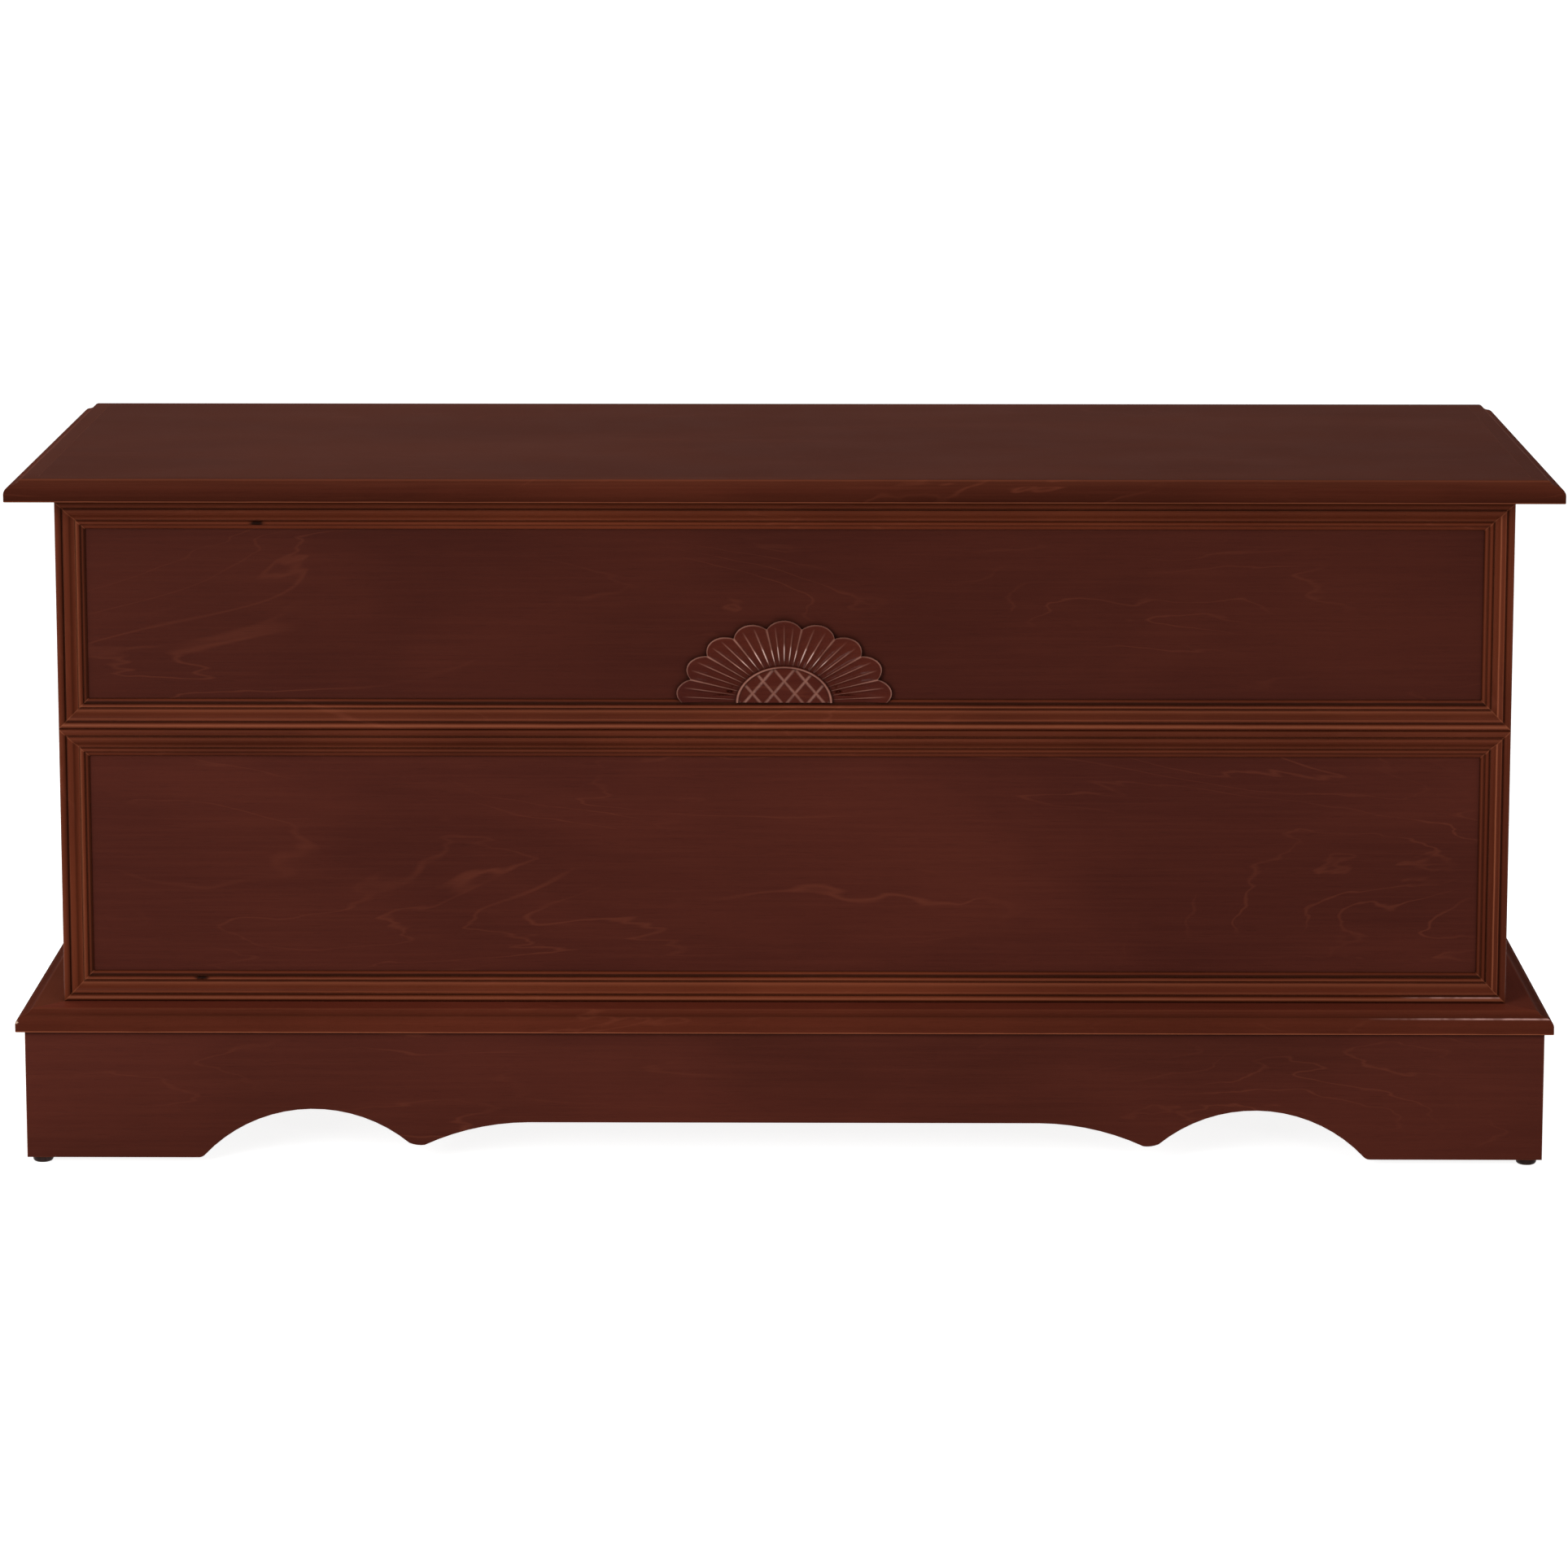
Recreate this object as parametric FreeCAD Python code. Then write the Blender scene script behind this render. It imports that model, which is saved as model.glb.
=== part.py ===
"""Blanket chest with a moulded lid, two framed front panels, a carved fan and a scalloped plinth.

Millimetres. X runs along the chest, Y from the front to the back, Z up. The origin is on the floor,
under the middle of the chest's overall box. Every function returns plain Part solids.
"""
import FreeCAD, Part
import math
import os

Vec = FreeCAD.Vector

# ---------------------------------------------------------------- overall sizes
lid_width = 1200.0
lid_depth = 470.0
lid_overhang = 34.0            # lid and base edge beyond the box, front and ends
lid_gap = 4.0                  # between the rim and the underside of the lid
edge_board_thickness = 17.0    # lid and base boards share one moulded edge
wall_thickness = 18.0          # box boards
lower_frame_height = 217.5
upper_frame_height = 179.5

# ---------------------------------------------------------------- moulded edge of lid and base
edge_corner_radius = 1.0
edge_flat_height = 5.5
nose_top_inset = 4.8
nose_top_height = 12.6
nose_bulge_inset = 1.0
nose_bulge_height = 9.6
cove_inset = 10.0
cove_height = 14.6
cove_hollow = 0.5
shoulder_inset = 14.0
shoulder_bulge = 0.7
lid_edge_width = 24.0
base_board_width = 80.0
tongue_length = 6.0
tongue_thickness = 6.0

# ---------------------------------------------------------------- frame moulding section
frame_width = 22.7
frame_relief = 11.0
outer_bead_radius = 2.7
quirk_width = 1.3
quirk_depth = 2.9
fillet_width = 1.9
fillet_depth = 1.3
ogee_run = 6.4
ogee_fall = 4.6
ogee_swell = 0.4
inner_groove_width = 0.9
inner_groove_depth = 6.8
inner_bead_radius = 1.6
lip_groove_width = 1.4
lip_depth = 8.2
lip_radius = 2.2

# ---------------------------------------------------------------- box joinery
corner_rabbet = 9.0
floor_thickness = 9.0
floor_lift = 12.0
floor_groove = 6.0
bearer_width = 60.0
bumper_radius = 5.0
bumper_from_end = 116.0

# ---------------------------------------------------------------- plinth
plinth_height = 101.7
plinth_inset = 6.5
plinth_thickness = 18.0
foot_length = 137.6
foot_round = 7.0
lobe_span = 162.4
lobe_rise = 39.1
cusp_width = 12.0
cusp_height = 10.4
cusp_shoulder = 12.0
return_span = 81.5
arch_height = 28.8
side_foot_length = 95.0
side_lobe_span = 85.0
corner_block_size = 38.0
glide_radius = 8.0
glide_height = 5.5
glide_flat_radius = 5.0
glide_rim = 2.2
glide_inset = 11.0

# ---------------------------------------------------------------- carved fan
fan_half_width = 84.5
fan_height = 64.5
fan_thickness = 5.2
fan_sink = 1.8                 # the base drops this far over the frame's inner lip
petal_pitch = 20.6             # degrees
petal_count = 9
valley_share = 0.905
flutes_per_petal = 3
flute_start_radius = 40.5
flute_end_radius = 70.0
flute_nose = 5.5
flute_side_shortening = 3.0
flute_start_half = 2.1
flute_end_half = 3.7
flute_tip_half = 0.7
flute_steepness = 0.6          # depth of a cut over its half width
seed_radius = 37.8
seed_rim_width = 2.3
seed_rim_height = 7.0
seed_field_height = 6.0
lattice_pitch = 16.5
lattice_slope = 49.6           # degrees
lattice_level = 17.0
lattice_groove = 1.5
fit_clearance = 0.2

# ---------------------------------------------------------------- hinges
hinge_from_end = 166.0         # outer hinges, from the end of the box to the hinge's middle
hinge_length = 76.0
knuckle_count = 3
knuckle_gap = 0.3
barrel_radius = 3.2
barrel_clearance = 0.4
leaf_thickness = 1.8
leaf_reach = 16.0              # leaf width on the wood
hinge_pin_radius = 1.6
running_clearance = 0.05

# ---------------------------------------------------------------- lid stays
stay_reach = 160.0             # hinge line to either fixed pivot, and the length of each arm
stay_wall_angle = 60.0         # degrees below the horizontal, hinge line to the wall pivot
stay_lid_drop = 12.0           # lid pivot below the underside of the lid
lid_open_angle = 95.0
arm_half_width = 7.0
arm_thickness = 2.0
arm_wall_gap = 0.4
arm_gap = 0.3
rivet_radius = 2.5
rivet_head_radius = 4.5
rivet_head_height = 1.2
rivet_head_gap = 0.1
knee_clearance = 0.15
stop_distance = 13.0
stop_radius = 1.5
stop_clearance = 0.3
bracket_half_width = 9.0
bracket_half_length = 20.0
flange_width = 22.0

# ---------------------------------------------------------------- places worked out from the sizes
half_width = lid_width / 2
axis_behind_back = barrel_radius + barrel_clearance
overall_depth = lid_depth + axis_behind_back + barrel_radius
y_front = -overall_depth / 2
y_back = y_front + lid_depth
y_case = y_front + lid_overhang
y_panel = y_case + frame_relief
y_inner_front = y_panel + wall_thickness
y_inner_back = y_back - wall_thickness
case_half = half_width - lid_overhang
inner_half = case_half - wall_thickness
z_base = glide_height + plinth_height
z_case = z_base + edge_board_thickness
z_seam = z_case + lower_frame_height
z_rim = z_seam + upper_frame_height
z_lid = z_rim + lid_gap
z_top = z_lid + edge_board_thickness
z_floor = z_case + floor_lift
plinth_half = half_width - plinth_inset
y_plinth = y_front + plinth_inset
y_axis = y_back + axis_behind_back
x_hinge = case_half - hinge_from_end
z_axis = z_rim + lid_gap / 2


# ---------------------------------------------------------------- shape helpers
def box(x0, x1, y0, y1, z0, z1):
    """A block between two corners."""
    return Part.makeBox(x1 - x0, y1 - y0, z1 - z0, Vec(x0, y0, z0))


def outline(plane, start, *steps):
    """A face from straight steps (a, b) and arc steps (mid_a, mid_b, a, b), closed at its start."""
    edges = []
    here = start
    for step in steps + (start,):
        there = step[-2:]
        if len(step) == 4:
            curve = Part.Arc(plane(*here), plane(*step[:2]), plane(*there))
        else:
            curve = Part.LineSegment(plane(*here), plane(*there))
        edges.append(curve.toShape())
        here = there
    return Part.Face(Part.Wire(edges))


def plan_prism(corners, z0, z1):
    """A straight-sided block with the given corners in plan."""
    face = outline(lambda x, y: Vec(x, y, z0), *corners)
    return face.extrude(Vec(0, 0, z1 - z0))


def front_prism(corners, y0, y1):
    """A straight-sided block with the given corners seen from the front."""
    face = outline(lambda x, z: Vec(x, y0, z), *corners)
    return face.extrude(Vec(0, y1 - y0, 0))


def along_x(radius, x0, x1, y, z):
    """A round bar along X."""
    return Part.makeCylinder(radius, x1 - x0, Vec(x0, y, z), Vec(1, 0, 0))


def mirrored(shape):
    """The same piece on the other end of the chest."""
    return shape.mirror(Vec(0, 0, 0), Vec(1, 0, 0))


def mirrored_across_level(shape, level):
    """The same piece upside down about a level."""
    return shape.mirror(Vec(0, 0, level), Vec(0, 0, 1))


# ---------------------------------------------------------------- moulded boards of lid and base
def edge_section(plane, board_width):
    """Section of a board with the moulded edge: inset from the edge, height above the underside."""
    cove_mid_inset = (nose_top_inset + cove_inset) / 2
    cove_mid_height = (nose_top_height + cove_height) / 2 - cove_hollow
    shoulder_mid_inset = (cove_inset + shoulder_inset) / 2 - shoulder_bulge / 2
    shoulder_mid_height = (cove_height + edge_board_thickness) / 2 + shoulder_bulge
    corner_mid = edge_corner_radius * (1 - math.sqrt(0.5))
    return outline(
        plane,
        (board_width, 0.0),
        (board_width, edge_board_thickness),
        (shoulder_inset, edge_board_thickness),
        (shoulder_mid_inset, shoulder_mid_height, cove_inset, cove_height),
        (cove_mid_inset, cove_mid_height, nose_top_inset, nose_top_height),
        (nose_bulge_inset, nose_bulge_height, 0.0, edge_flat_height),
        (0.0, edge_corner_radius),
        (corner_mid, corner_mid, edge_corner_radius, 0.0),
    )


def moulded_surround(board_width, z):
    """Front and left boards with the moulded edge, mitred where they meet."""
    z_end = z + edge_board_thickness
    front_face = edge_section(lambda inset, up: Vec(-half_width, y_front + inset, z + up), board_width)
    front = front_face.extrude(Vec(lid_width, 0, 0))
    front = front.common(plan_prism([
        (-half_width, y_front),
        (half_width, y_front),
        (half_width - board_width, y_front + board_width),
        (-half_width + board_width, y_front + board_width),
    ], z, z_end))
    left_face = edge_section(lambda inset, up: Vec(-half_width + inset, y_front, z + up), board_width)
    left = left_face.extrude(Vec(0, lid_depth, 0))
    left = left.common(plan_prism([
        (-half_width, y_front),
        (-half_width + board_width, y_front + board_width),
        (-half_width + board_width, y_back),
        (-half_width, y_back),
    ], z, z_end))
    return front, left


def make_lid_boards():
    """Lid panel tongued into a moulded edge on the front and both ends."""
    front, left = moulded_surround(lid_edge_width, z_lid)
    x_core = half_width - lid_edge_width
    y_core = y_front + lid_edge_width
    core = box(-x_core, x_core, y_core, y_back, z_lid, z_top)
    z_tongue = z_lid + (edge_board_thickness - tongue_thickness) / 2
    tongue = box(-x_core - tongue_length, x_core + tongue_length, y_core - tongue_length, y_back,
                 z_tongue, z_tongue + tongue_thickness)
    panel = core.fuse(tongue).removeSplitter()
    front = front.cut(panel)
    left = left.cut(panel)
    return {
        "lid_panel": panel,
        "lid_edge_front": front,
        "lid_edge_left": left,
        "lid_edge_right": mirrored(left),
    }


def make_base_boards():
    """Board surround under the box, moulded on three sides, with a plain rear board."""
    front, left = moulded_surround(base_board_width, z_base)
    x_rear = half_width - base_board_width
    rear = box(-x_rear, x_rear, y_back - base_board_width, y_back, z_base, z_case)
    return {
        "base_moulding_front": front,
        "base_moulding_left": left,
        "base_moulding_right": mirrored(left),
        "base_board_back": rear,
    }


# ---------------------------------------------------------------- box
def make_case():
    """Front, ends, back and bottom: rabbeted corners, bottom held in a groove all round."""
    z_floor_top = z_floor + floor_thickness
    floor = box(-inner_half - floor_groove, inner_half + floor_groove,
                y_inner_front - floor_groove, y_inner_back + floor_groove, z_floor, z_floor_top)
    y_lap = y_inner_front - corner_rabbet
    front = box(-case_half, case_half, y_panel, y_inner_front, z_case, z_rim)
    left = box(-case_half, -inner_half, y_lap, y_back, z_case, z_rim)
    back_half = inner_half + corner_rabbet
    back = box(-back_half, back_half, y_inner_back, y_back, z_case, z_rim)
    right = mirrored(left)
    front = front.cut(left).cut(right).cut(floor)
    left = left.cut(back).cut(floor)
    back = back.cut(floor)
    bearer = box(-bearer_width / 2, bearer_width / 2, y_inner_front, y_inner_back, z_case, z_floor)
    return {
        "front_board": front,
        "end_board_left": left,
        "end_board_right": mirrored(left),
        "back_board": back,
        "bottom_board": floor,
        "bottom_bearer": bearer,
    }


def make_bumpers():
    """Two rubber buttons on the front rim that the closed lid rests on."""
    y_mid = (y_panel + y_inner_front) / 2
    right = Part.makeCylinder(bumper_radius, lid_gap, Vec(case_half - bumper_from_end, y_mid, z_rim))
    return Part.Compound([mirrored(right), right])


# ---------------------------------------------------------------- frame mouldings
def frame_section(plane):
    """Moulding section: distance in from the outer edge, depth behind the front of the bead."""
    bead_end = 2 * outer_bead_radius
    quirk_end = bead_end + quirk_width
    fillet_end = quirk_end + fillet_width
    ogee_end = fillet_end + ogee_run
    ogee_mid = fillet_end + ogee_run / 2
    ogee_mid_depth = fillet_depth + ogee_fall / 2
    groove_end = ogee_end + inner_groove_width
    bead_mid = groove_end + inner_bead_radius
    inner_end = groove_end + 2 * inner_bead_radius
    lip_start = inner_end + lip_groove_width
    lip_diagonal = lip_radius * math.sqrt(0.5)
    return outline(
        plane,
        (0.0, frame_relief),
        (0.0, outer_bead_radius),
        (outer_bead_radius, 0.0, bead_end, outer_bead_radius),
        (bead_end, quirk_depth),
        (quirk_end, quirk_depth),
        (quirk_end, fillet_depth),
        (fillet_end, fillet_depth),
        (fillet_end + ogee_run / 4, fillet_depth + ogee_fall / 4 - ogee_swell, ogee_mid, ogee_mid_depth),
        (ogee_mid + ogee_run / 4, ogee_mid_depth + ogee_fall / 4 + ogee_swell,
         ogee_end, fillet_depth + ogee_fall),
        (ogee_end, inner_groove_depth),
        (groove_end, inner_groove_depth),
        (bead_mid, inner_groove_depth - inner_bead_radius, inner_end, inner_groove_depth),
        (inner_end, lip_depth),
        (lip_start, lip_depth),
        (lip_start + lip_diagonal, lip_depth + lip_radius - lip_diagonal,
         frame_width, lip_depth + lip_radius),
        (frame_width, frame_relief),
    )


def make_frame(name, z0, z1):
    """Four mitred mouldings round one front panel."""
    bottom_face = frame_section(lambda inset, depth: Vec(-case_half, y_case + depth, z0 + inset))
    bottom = bottom_face.extrude(Vec(2 * case_half, 0, 0))
    bottom = bottom.common(front_prism([
        (-case_half, z0),
        (case_half, z0),
        (case_half - frame_width, z0 + frame_width),
        (-case_half + frame_width, z0 + frame_width),
    ], y_case, y_panel))
    left_face = frame_section(lambda inset, depth: Vec(-case_half + inset, y_case + depth, z0))
    left = left_face.extrude(Vec(0, 0, z1 - z0))
    left = left.common(front_prism([
        (-case_half, z0),
        (-case_half + frame_width, z0 + frame_width),
        (-case_half + frame_width, z1 - frame_width),
        (-case_half, z1),
    ], y_case, y_panel))
    return {
        name + "_bottom_rail": bottom,
        name + "_top_rail": mirrored_across_level(bottom, (z0 + z1) / 2),
        name + "_left_stile": left,
        name + "_right_stile": mirrored(left),
    }


# ---------------------------------------------------------------- carved fan
def fan_point(radius, degrees, height=0.0):
    """A point of the fan: a circle's polar terms, squashed to the fan's height."""
    turn = math.radians(degrees)
    squash = fan_height / fan_half_width
    return Vec(radius * math.cos(turn), radius * squash * math.sin(turn), height)


def fan_leaf():
    """Flat blank with one arc per petal, the two lowest petals cut off by the base line."""
    first = 90.0 - petal_count * petal_pitch / 2
    valley = valley_share * fan_half_width
    edges = []
    for petal in range(petal_count):
        start = first + petal * petal_pitch
        arc = Part.Arc(fan_point(valley, start), fan_point(fan_half_width, start + petal_pitch / 2),
                       fan_point(valley, start + petal_pitch))
        edges.append(arc.toShape())
    last = first + petal_count * petal_pitch
    edges.append(Part.makeLine(fan_point(valley, last), fan_point(valley, first)))
    leaf = Part.Face(Part.Wire(edges)).extrude(Vec(0, 0, fan_thickness))
    below = Part.makeBox(2 * fan_half_width, fan_height, fan_thickness, Vec(-fan_half_width, -fan_height, 0))
    return leaf.cut(below)


def half_ellipse(radius, height):
    """Upright half ellipse in the fan's proportions, from the panel to a height."""
    squash = fan_height / fan_half_width
    curve = Part.Ellipse(Vec(0, 0, 0), radius, radius * squash)
    arc = Part.Arc(curve, 0, math.pi).toShape()
    base = Part.makeLine(Vec(-radius, 0, 0), Vec(radius, 0, 0))
    return Part.Face(Part.Wire([arc, base])).extrude(Vec(0, 0, height))


def gouge_section(place, across, half):
    """Corners of a gouge cut across its run: four flats under a straight top."""
    depth = half * flute_steepness
    here = Vec(place.x, place.y, fan_thickness)
    lift = Vec(0, 0, depth)
    return [
        here - across * half,
        here - across * half * 0.6 - lift * 0.75,
        here - lift,
        here + across * half * 0.6 - lift * 0.75,
        here + across * half,
    ]


def flat_faced_solid(sections):
    """Solid through equal-sided sections one after another, with flat faces only."""
    faces = [Part.Face(Part.makePolygon(ring + ring[:1])) for ring in (sections[0], sections[-1])]
    for ring, following in zip(sections, sections[1:]):
        for corner in range(len(ring)):
            beside = (corner + 1) % len(ring)
            sides = [ring[corner], ring[beside], following[beside], following[corner], ring[corner]]
            faces.append(Part.Face(Part.makePolygon(sides)))
    return Part.Solid(Part.Shell(faces))


def flute(degrees, end_radius):
    """Tapered gouge cut with a pointed nose, lying along one radius."""
    start = fan_point(flute_start_radius, degrees)
    end = fan_point(end_radius, degrees)
    nose = fan_point(end_radius + flute_nose, degrees)
    along = (end - start).normalize()
    across = Vec(-along.y, along.x, 0)
    return flat_faced_solid([
        gouge_section(start, across, flute_start_half),
        gouge_section(end, across, flute_end_half),
        gouge_section(nose, across, flute_tip_half),
    ])


def flutes():
    """Every flute of every petal, the outer ones of a petal a little shorter."""
    step = petal_pitch / flutes_per_petal
    middle = (flutes_per_petal - 1) / 2
    tools = []
    for petal in range(petal_count):
        centre = 90.0 + (petal - (petal_count - 1) / 2) * petal_pitch
        for place in range(flutes_per_petal):
            off = place - middle
            tools.append(flute(centre + off * step, flute_end_radius - abs(off) * flute_side_shortening))
    return tools


def seed_lattice():
    """Square bars on edge that cut the crossed V grooves of the seed head."""
    reach = 2 * seed_radius
    tools = []
    for lean in (-1, 1):
        for place in range(-3, 4):
            bar = Part.makeBox(reach, lattice_groove, lattice_groove,
                               Vec(-reach / 2, -lattice_groove / 2, -lattice_groove / 2))
            bar.rotate(Vec(0, 0, 0), Vec(1, 0, 0), 45)
            bar.rotate(Vec(0, 0, 0), Vec(0, 0, 1), lean * lattice_slope)
            bar.translate(Vec(place * lattice_pitch, lattice_level, seed_field_height))
            tools.append(bar)
    return tools


def make_fan():
    """The carved half-sunflower, seated on the panel and notched over the frame's lip."""
    petals = fan_leaf()
    for tool in flutes():
        petals = petals.cut(tool)
    field = half_ellipse(seed_radius - seed_rim_width, seed_rim_height)
    seed = half_ellipse(seed_radius, seed_rim_height)
    seed = seed.cut(field)
    centre = field.common(box(-seed_radius, seed_radius, 0, seed_radius, 0, seed_field_height))
    for tool in seed_lattice():
        centre = centre.cut(tool)
    carved = petals.fuse(seed).fuse(centre).removeSplitter()
    carved.rotate(Vec(0, 0, 0), Vec(1, 0, 0), 90)
    z_fan = z_seam + frame_width - fan_sink
    carved.translate(Vec(0, y_panel, z_fan))
    lip_notch = box(-fan_half_width, fan_half_width, y_case + lip_depth - fit_clearance, y_panel,
                    z_seam, z_seam + frame_width)
    return carved.cut(lip_notch)


# ---------------------------------------------------------------- plinth
def scallop(y0, y1):
    """Cut-out under the front plinth: two lobes, two cusps and a long flat arch."""
    z0 = glide_height
    foot_end = plinth_half - foot_length
    lobe_mid = foot_end - lobe_span / 2
    cusp_outer = foot_end - lobe_span
    cusp_inner = cusp_outer - cusp_width
    arch_end = cusp_inner - return_span
    cusp_mid = (cusp_outer + cusp_inner) / 2
    return_rise = arch_height - cusp_height
    return_mid = (cusp_inner + arch_end) / 2
    return_bend = arch_height - return_rise / 4
    face = outline(
        lambda x, z: Vec(x, y0, z0 + z),
        (-foot_end, 0.0),
        (-lobe_mid, lobe_rise, -cusp_outer, cusp_shoulder),
        (-cusp_mid, cusp_height, -cusp_inner, cusp_height),
        (-return_mid, return_bend, -arch_end, arch_height),
        (arch_end, arch_height),
        (return_mid, return_bend, cusp_inner, cusp_height),
        (cusp_mid, cusp_height, cusp_outer, cusp_shoulder),
        (lobe_mid, lobe_rise, foot_end, 0.0),
    )
    return face.extrude(Vec(0, y1 - y0, 0))


def side_scallop():
    """Cut-out under an end plinth: a plain arch that springs from both feet."""
    z0 = glide_height
    y0 = y_plinth + side_foot_length
    y1 = y_back - side_foot_length
    bend = side_lobe_span / 2
    lift = 0.82 * lobe_rise
    face = outline(
        lambda y, z: Vec(-plinth_half, y, z0 + z),
        (y0, 0.0),
        (y0 + bend, lift, y0 + side_lobe_span, lobe_rise),
        (y1 - side_lobe_span, lobe_rise),
        (y1 - bend, lift, y1, 0.0),
    )
    return face.extrude(Vec(plinth_thickness, 0, 0))


def with_round_feet(board, corners):
    """Board with the corners where its cut-out meets the floor line rounded; corners are plan places."""
    edges = []
    for edge in board.Edges:
        middle = edge.CenterOfMass
        for x, y in corners:
            if middle.distanceToPoint(Vec(x, y, glide_height)) < fit_clearance:
                edges.append(edge)
    return board.makeFillet(foot_round, edges)


def make_plinth():
    """Bracket-foot plinth, mitred at the front corners, with a raised rear rail."""
    z0 = glide_height
    y_inner = y_plinth + plinth_thickness
    x_inner = plinth_half - plinth_thickness
    front = plan_prism([
        (-plinth_half, y_plinth),
        (plinth_half, y_plinth),
        (x_inner, y_inner),
        (-x_inner, y_inner),
    ], z0, z_base)
    front = front.cut(scallop(y_plinth, y_inner))
    foot_end = plinth_half - foot_length
    y_middle = (y_plinth + y_inner) / 2
    front = with_round_feet(front, [(-foot_end, y_middle), (foot_end, y_middle)])
    left = plan_prism([
        (-plinth_half, y_plinth),
        (-x_inner, y_inner),
        (-x_inner, y_back),
        (-plinth_half, y_back),
    ], z0, z_base)
    left = left.cut(side_scallop())
    x_middle = (-plinth_half - x_inner) / 2
    left = with_round_feet(left, [(x_middle, y_plinth + side_foot_length), (x_middle, y_back - side_foot_length)])
    back = box(-x_inner, x_inner, y_back - plinth_thickness, y_back, z0 + lobe_rise, z_base)
    return {
        "plinth_front": front,
        "plinth_left": left,
        "plinth_right": mirrored(left),
        "plinth_back": back,
    }


def make_corner_blocks():
    """A glue block in each inner corner of the plinth."""
    x0 = -plinth_half + plinth_thickness
    x1 = x0 + corner_block_size
    y_front_block = y_plinth + plinth_thickness
    y_back_block = y_back - plinth_thickness - corner_block_size
    front = box(x0, x1, y_front_block, y_front_block + corner_block_size, glide_height, z_base)
    rear = box(x0, x1, y_back_block, y_back_block + corner_block_size, glide_height, z_base)
    return {
        "corner_block_front_left": front,
        "corner_block_front_right": mirrored(front),
        "corner_block_back_left": rear,
        "corner_block_back_right": mirrored(rear),
    }


def glide(x, y):
    """One tapered glide with a flat where it meets the floor."""
    face = outline(
        lambda r, z: Vec(x + r, y, z),
        (0.0, 0.0),
        (glide_flat_radius, 0.0),
        (glide_radius, glide_height - glide_rim),
        (glide_radius, glide_height),
        (0.0, glide_height),
    )
    return face.revolve(Vec(x, y, 0), Vec(0, 0, 1), 360)


def make_glides():
    """Four glides under the corners of the plinth."""
    x = plinth_half - glide_inset
    places = [(side * x, y) for side in (-1, 1) for y in (y_plinth + glide_inset, y_back - glide_inset)]
    return Part.Compound([glide(*place) for place in places])


# ---------------------------------------------------------------- hinges
def knuckles(x, own):
    """The barrel pieces of one leaf: even places for the chest leaf, odd for the lid leaf."""
    pitch = hinge_length / knuckle_count
    x0 = x - hinge_length / 2
    pieces = []
    for place in range(own, knuckle_count, 2):
        start = x0 + place * pitch + knuckle_gap / 2
        pieces.append((start, start + pitch - knuckle_gap))
    return pieces


def hinge_leaf(x, own, z0):
    """Leaf lying flat on the wood, with its knuckles rolled behind the back board."""
    z1 = z0 + leaf_thickness
    leaf = box(x - hinge_length / 2, x + hinge_length / 2, y_back - leaf_reach, y_back, z0, z1)
    for start, end in knuckles(x, own):
        neck = box(start, end, y_back, y_axis, z0, z1)
        leaf = leaf.fuse(neck).fuse(along_x(barrel_radius, start, end, y_axis, z_axis))
    bore = along_x(hinge_pin_radius + running_clearance, x - hinge_length, x + hinge_length, y_axis, z_axis)
    return leaf.removeSplitter().cut(bore)


def make_hinges():
    """Butt hinges: chest leaf on the rim, lid leaf under the lid, and the pins."""
    nodes = {}
    pins = []
    for name, x in (("left", -x_hinge), ("middle", 0.0), ("right", x_hinge)):
        nodes["hinge_chest_leaf_" + name] = hinge_leaf(x, 0, z_rim)
        nodes["hinge_lid_leaf_" + name] = hinge_leaf(x, 1, z_lid - leaf_thickness)
        pins.append(along_x(hinge_pin_radius, x - hinge_length / 2, x + hinge_length / 2, y_axis, z_axis))
    nodes["hinge_pins"] = Part.Compound(pins)
    return nodes


# ---------------------------------------------------------------- folding lid stays
def stay_points():
    """Wall pivot, lid pivot and knee of a stay with the lid closed, as (y, z)."""
    drop = math.asin((stay_lid_drop - lid_gap / 2) / stay_reach)
    wall_turn = math.radians(stay_wall_angle)
    wall = (y_axis - stay_reach * math.cos(wall_turn), z_axis - stay_reach * math.sin(wall_turn))
    lid = (y_axis - stay_reach * math.cos(drop), z_axis - stay_reach * math.sin(drop))
    knee = (wall[0] + lid[0] - y_axis, wall[1] + lid[1] - z_axis)
    return wall, lid, knee, drop


def strap(start, end, x0, half):
    """Flat bar with round ends between two (y, z) points, its face at x0."""
    run = Vec(0, end[0] - start[0], end[1] - start[1])
    side = Vec(0, -run.z, run.y).normalize() * half
    along = Vec(run).normalize() * half
    a = Vec(x0, start[0], start[1])
    b = Vec(x0, end[0], end[1])
    edges = [
        Part.makeLine(a + side, b + side),
        Part.Arc(b + side, b + along, b - side).toShape(),
        Part.makeLine(b - side, a - side),
        Part.Arc(a - side, a - along, a + side).toShape(),
    ]
    return Part.Face(Part.Wire(edges)).extrude(Vec(arm_thickness, 0, 0))


def rivet(place, x0, x1, head_at_start, head_at_end):
    """Pivot rivet along X with a flat head at either end."""
    body = along_x(rivet_radius, x0, x1, *place)
    if head_at_start:
        body = body.fuse(along_x(rivet_head_radius, x0 - rivet_head_height, x0, *place))
    if head_at_end:
        body = body.fuse(along_x(rivet_head_radius, x1, x1 + rivet_head_height, *place))
    return body.removeSplitter()


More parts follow.
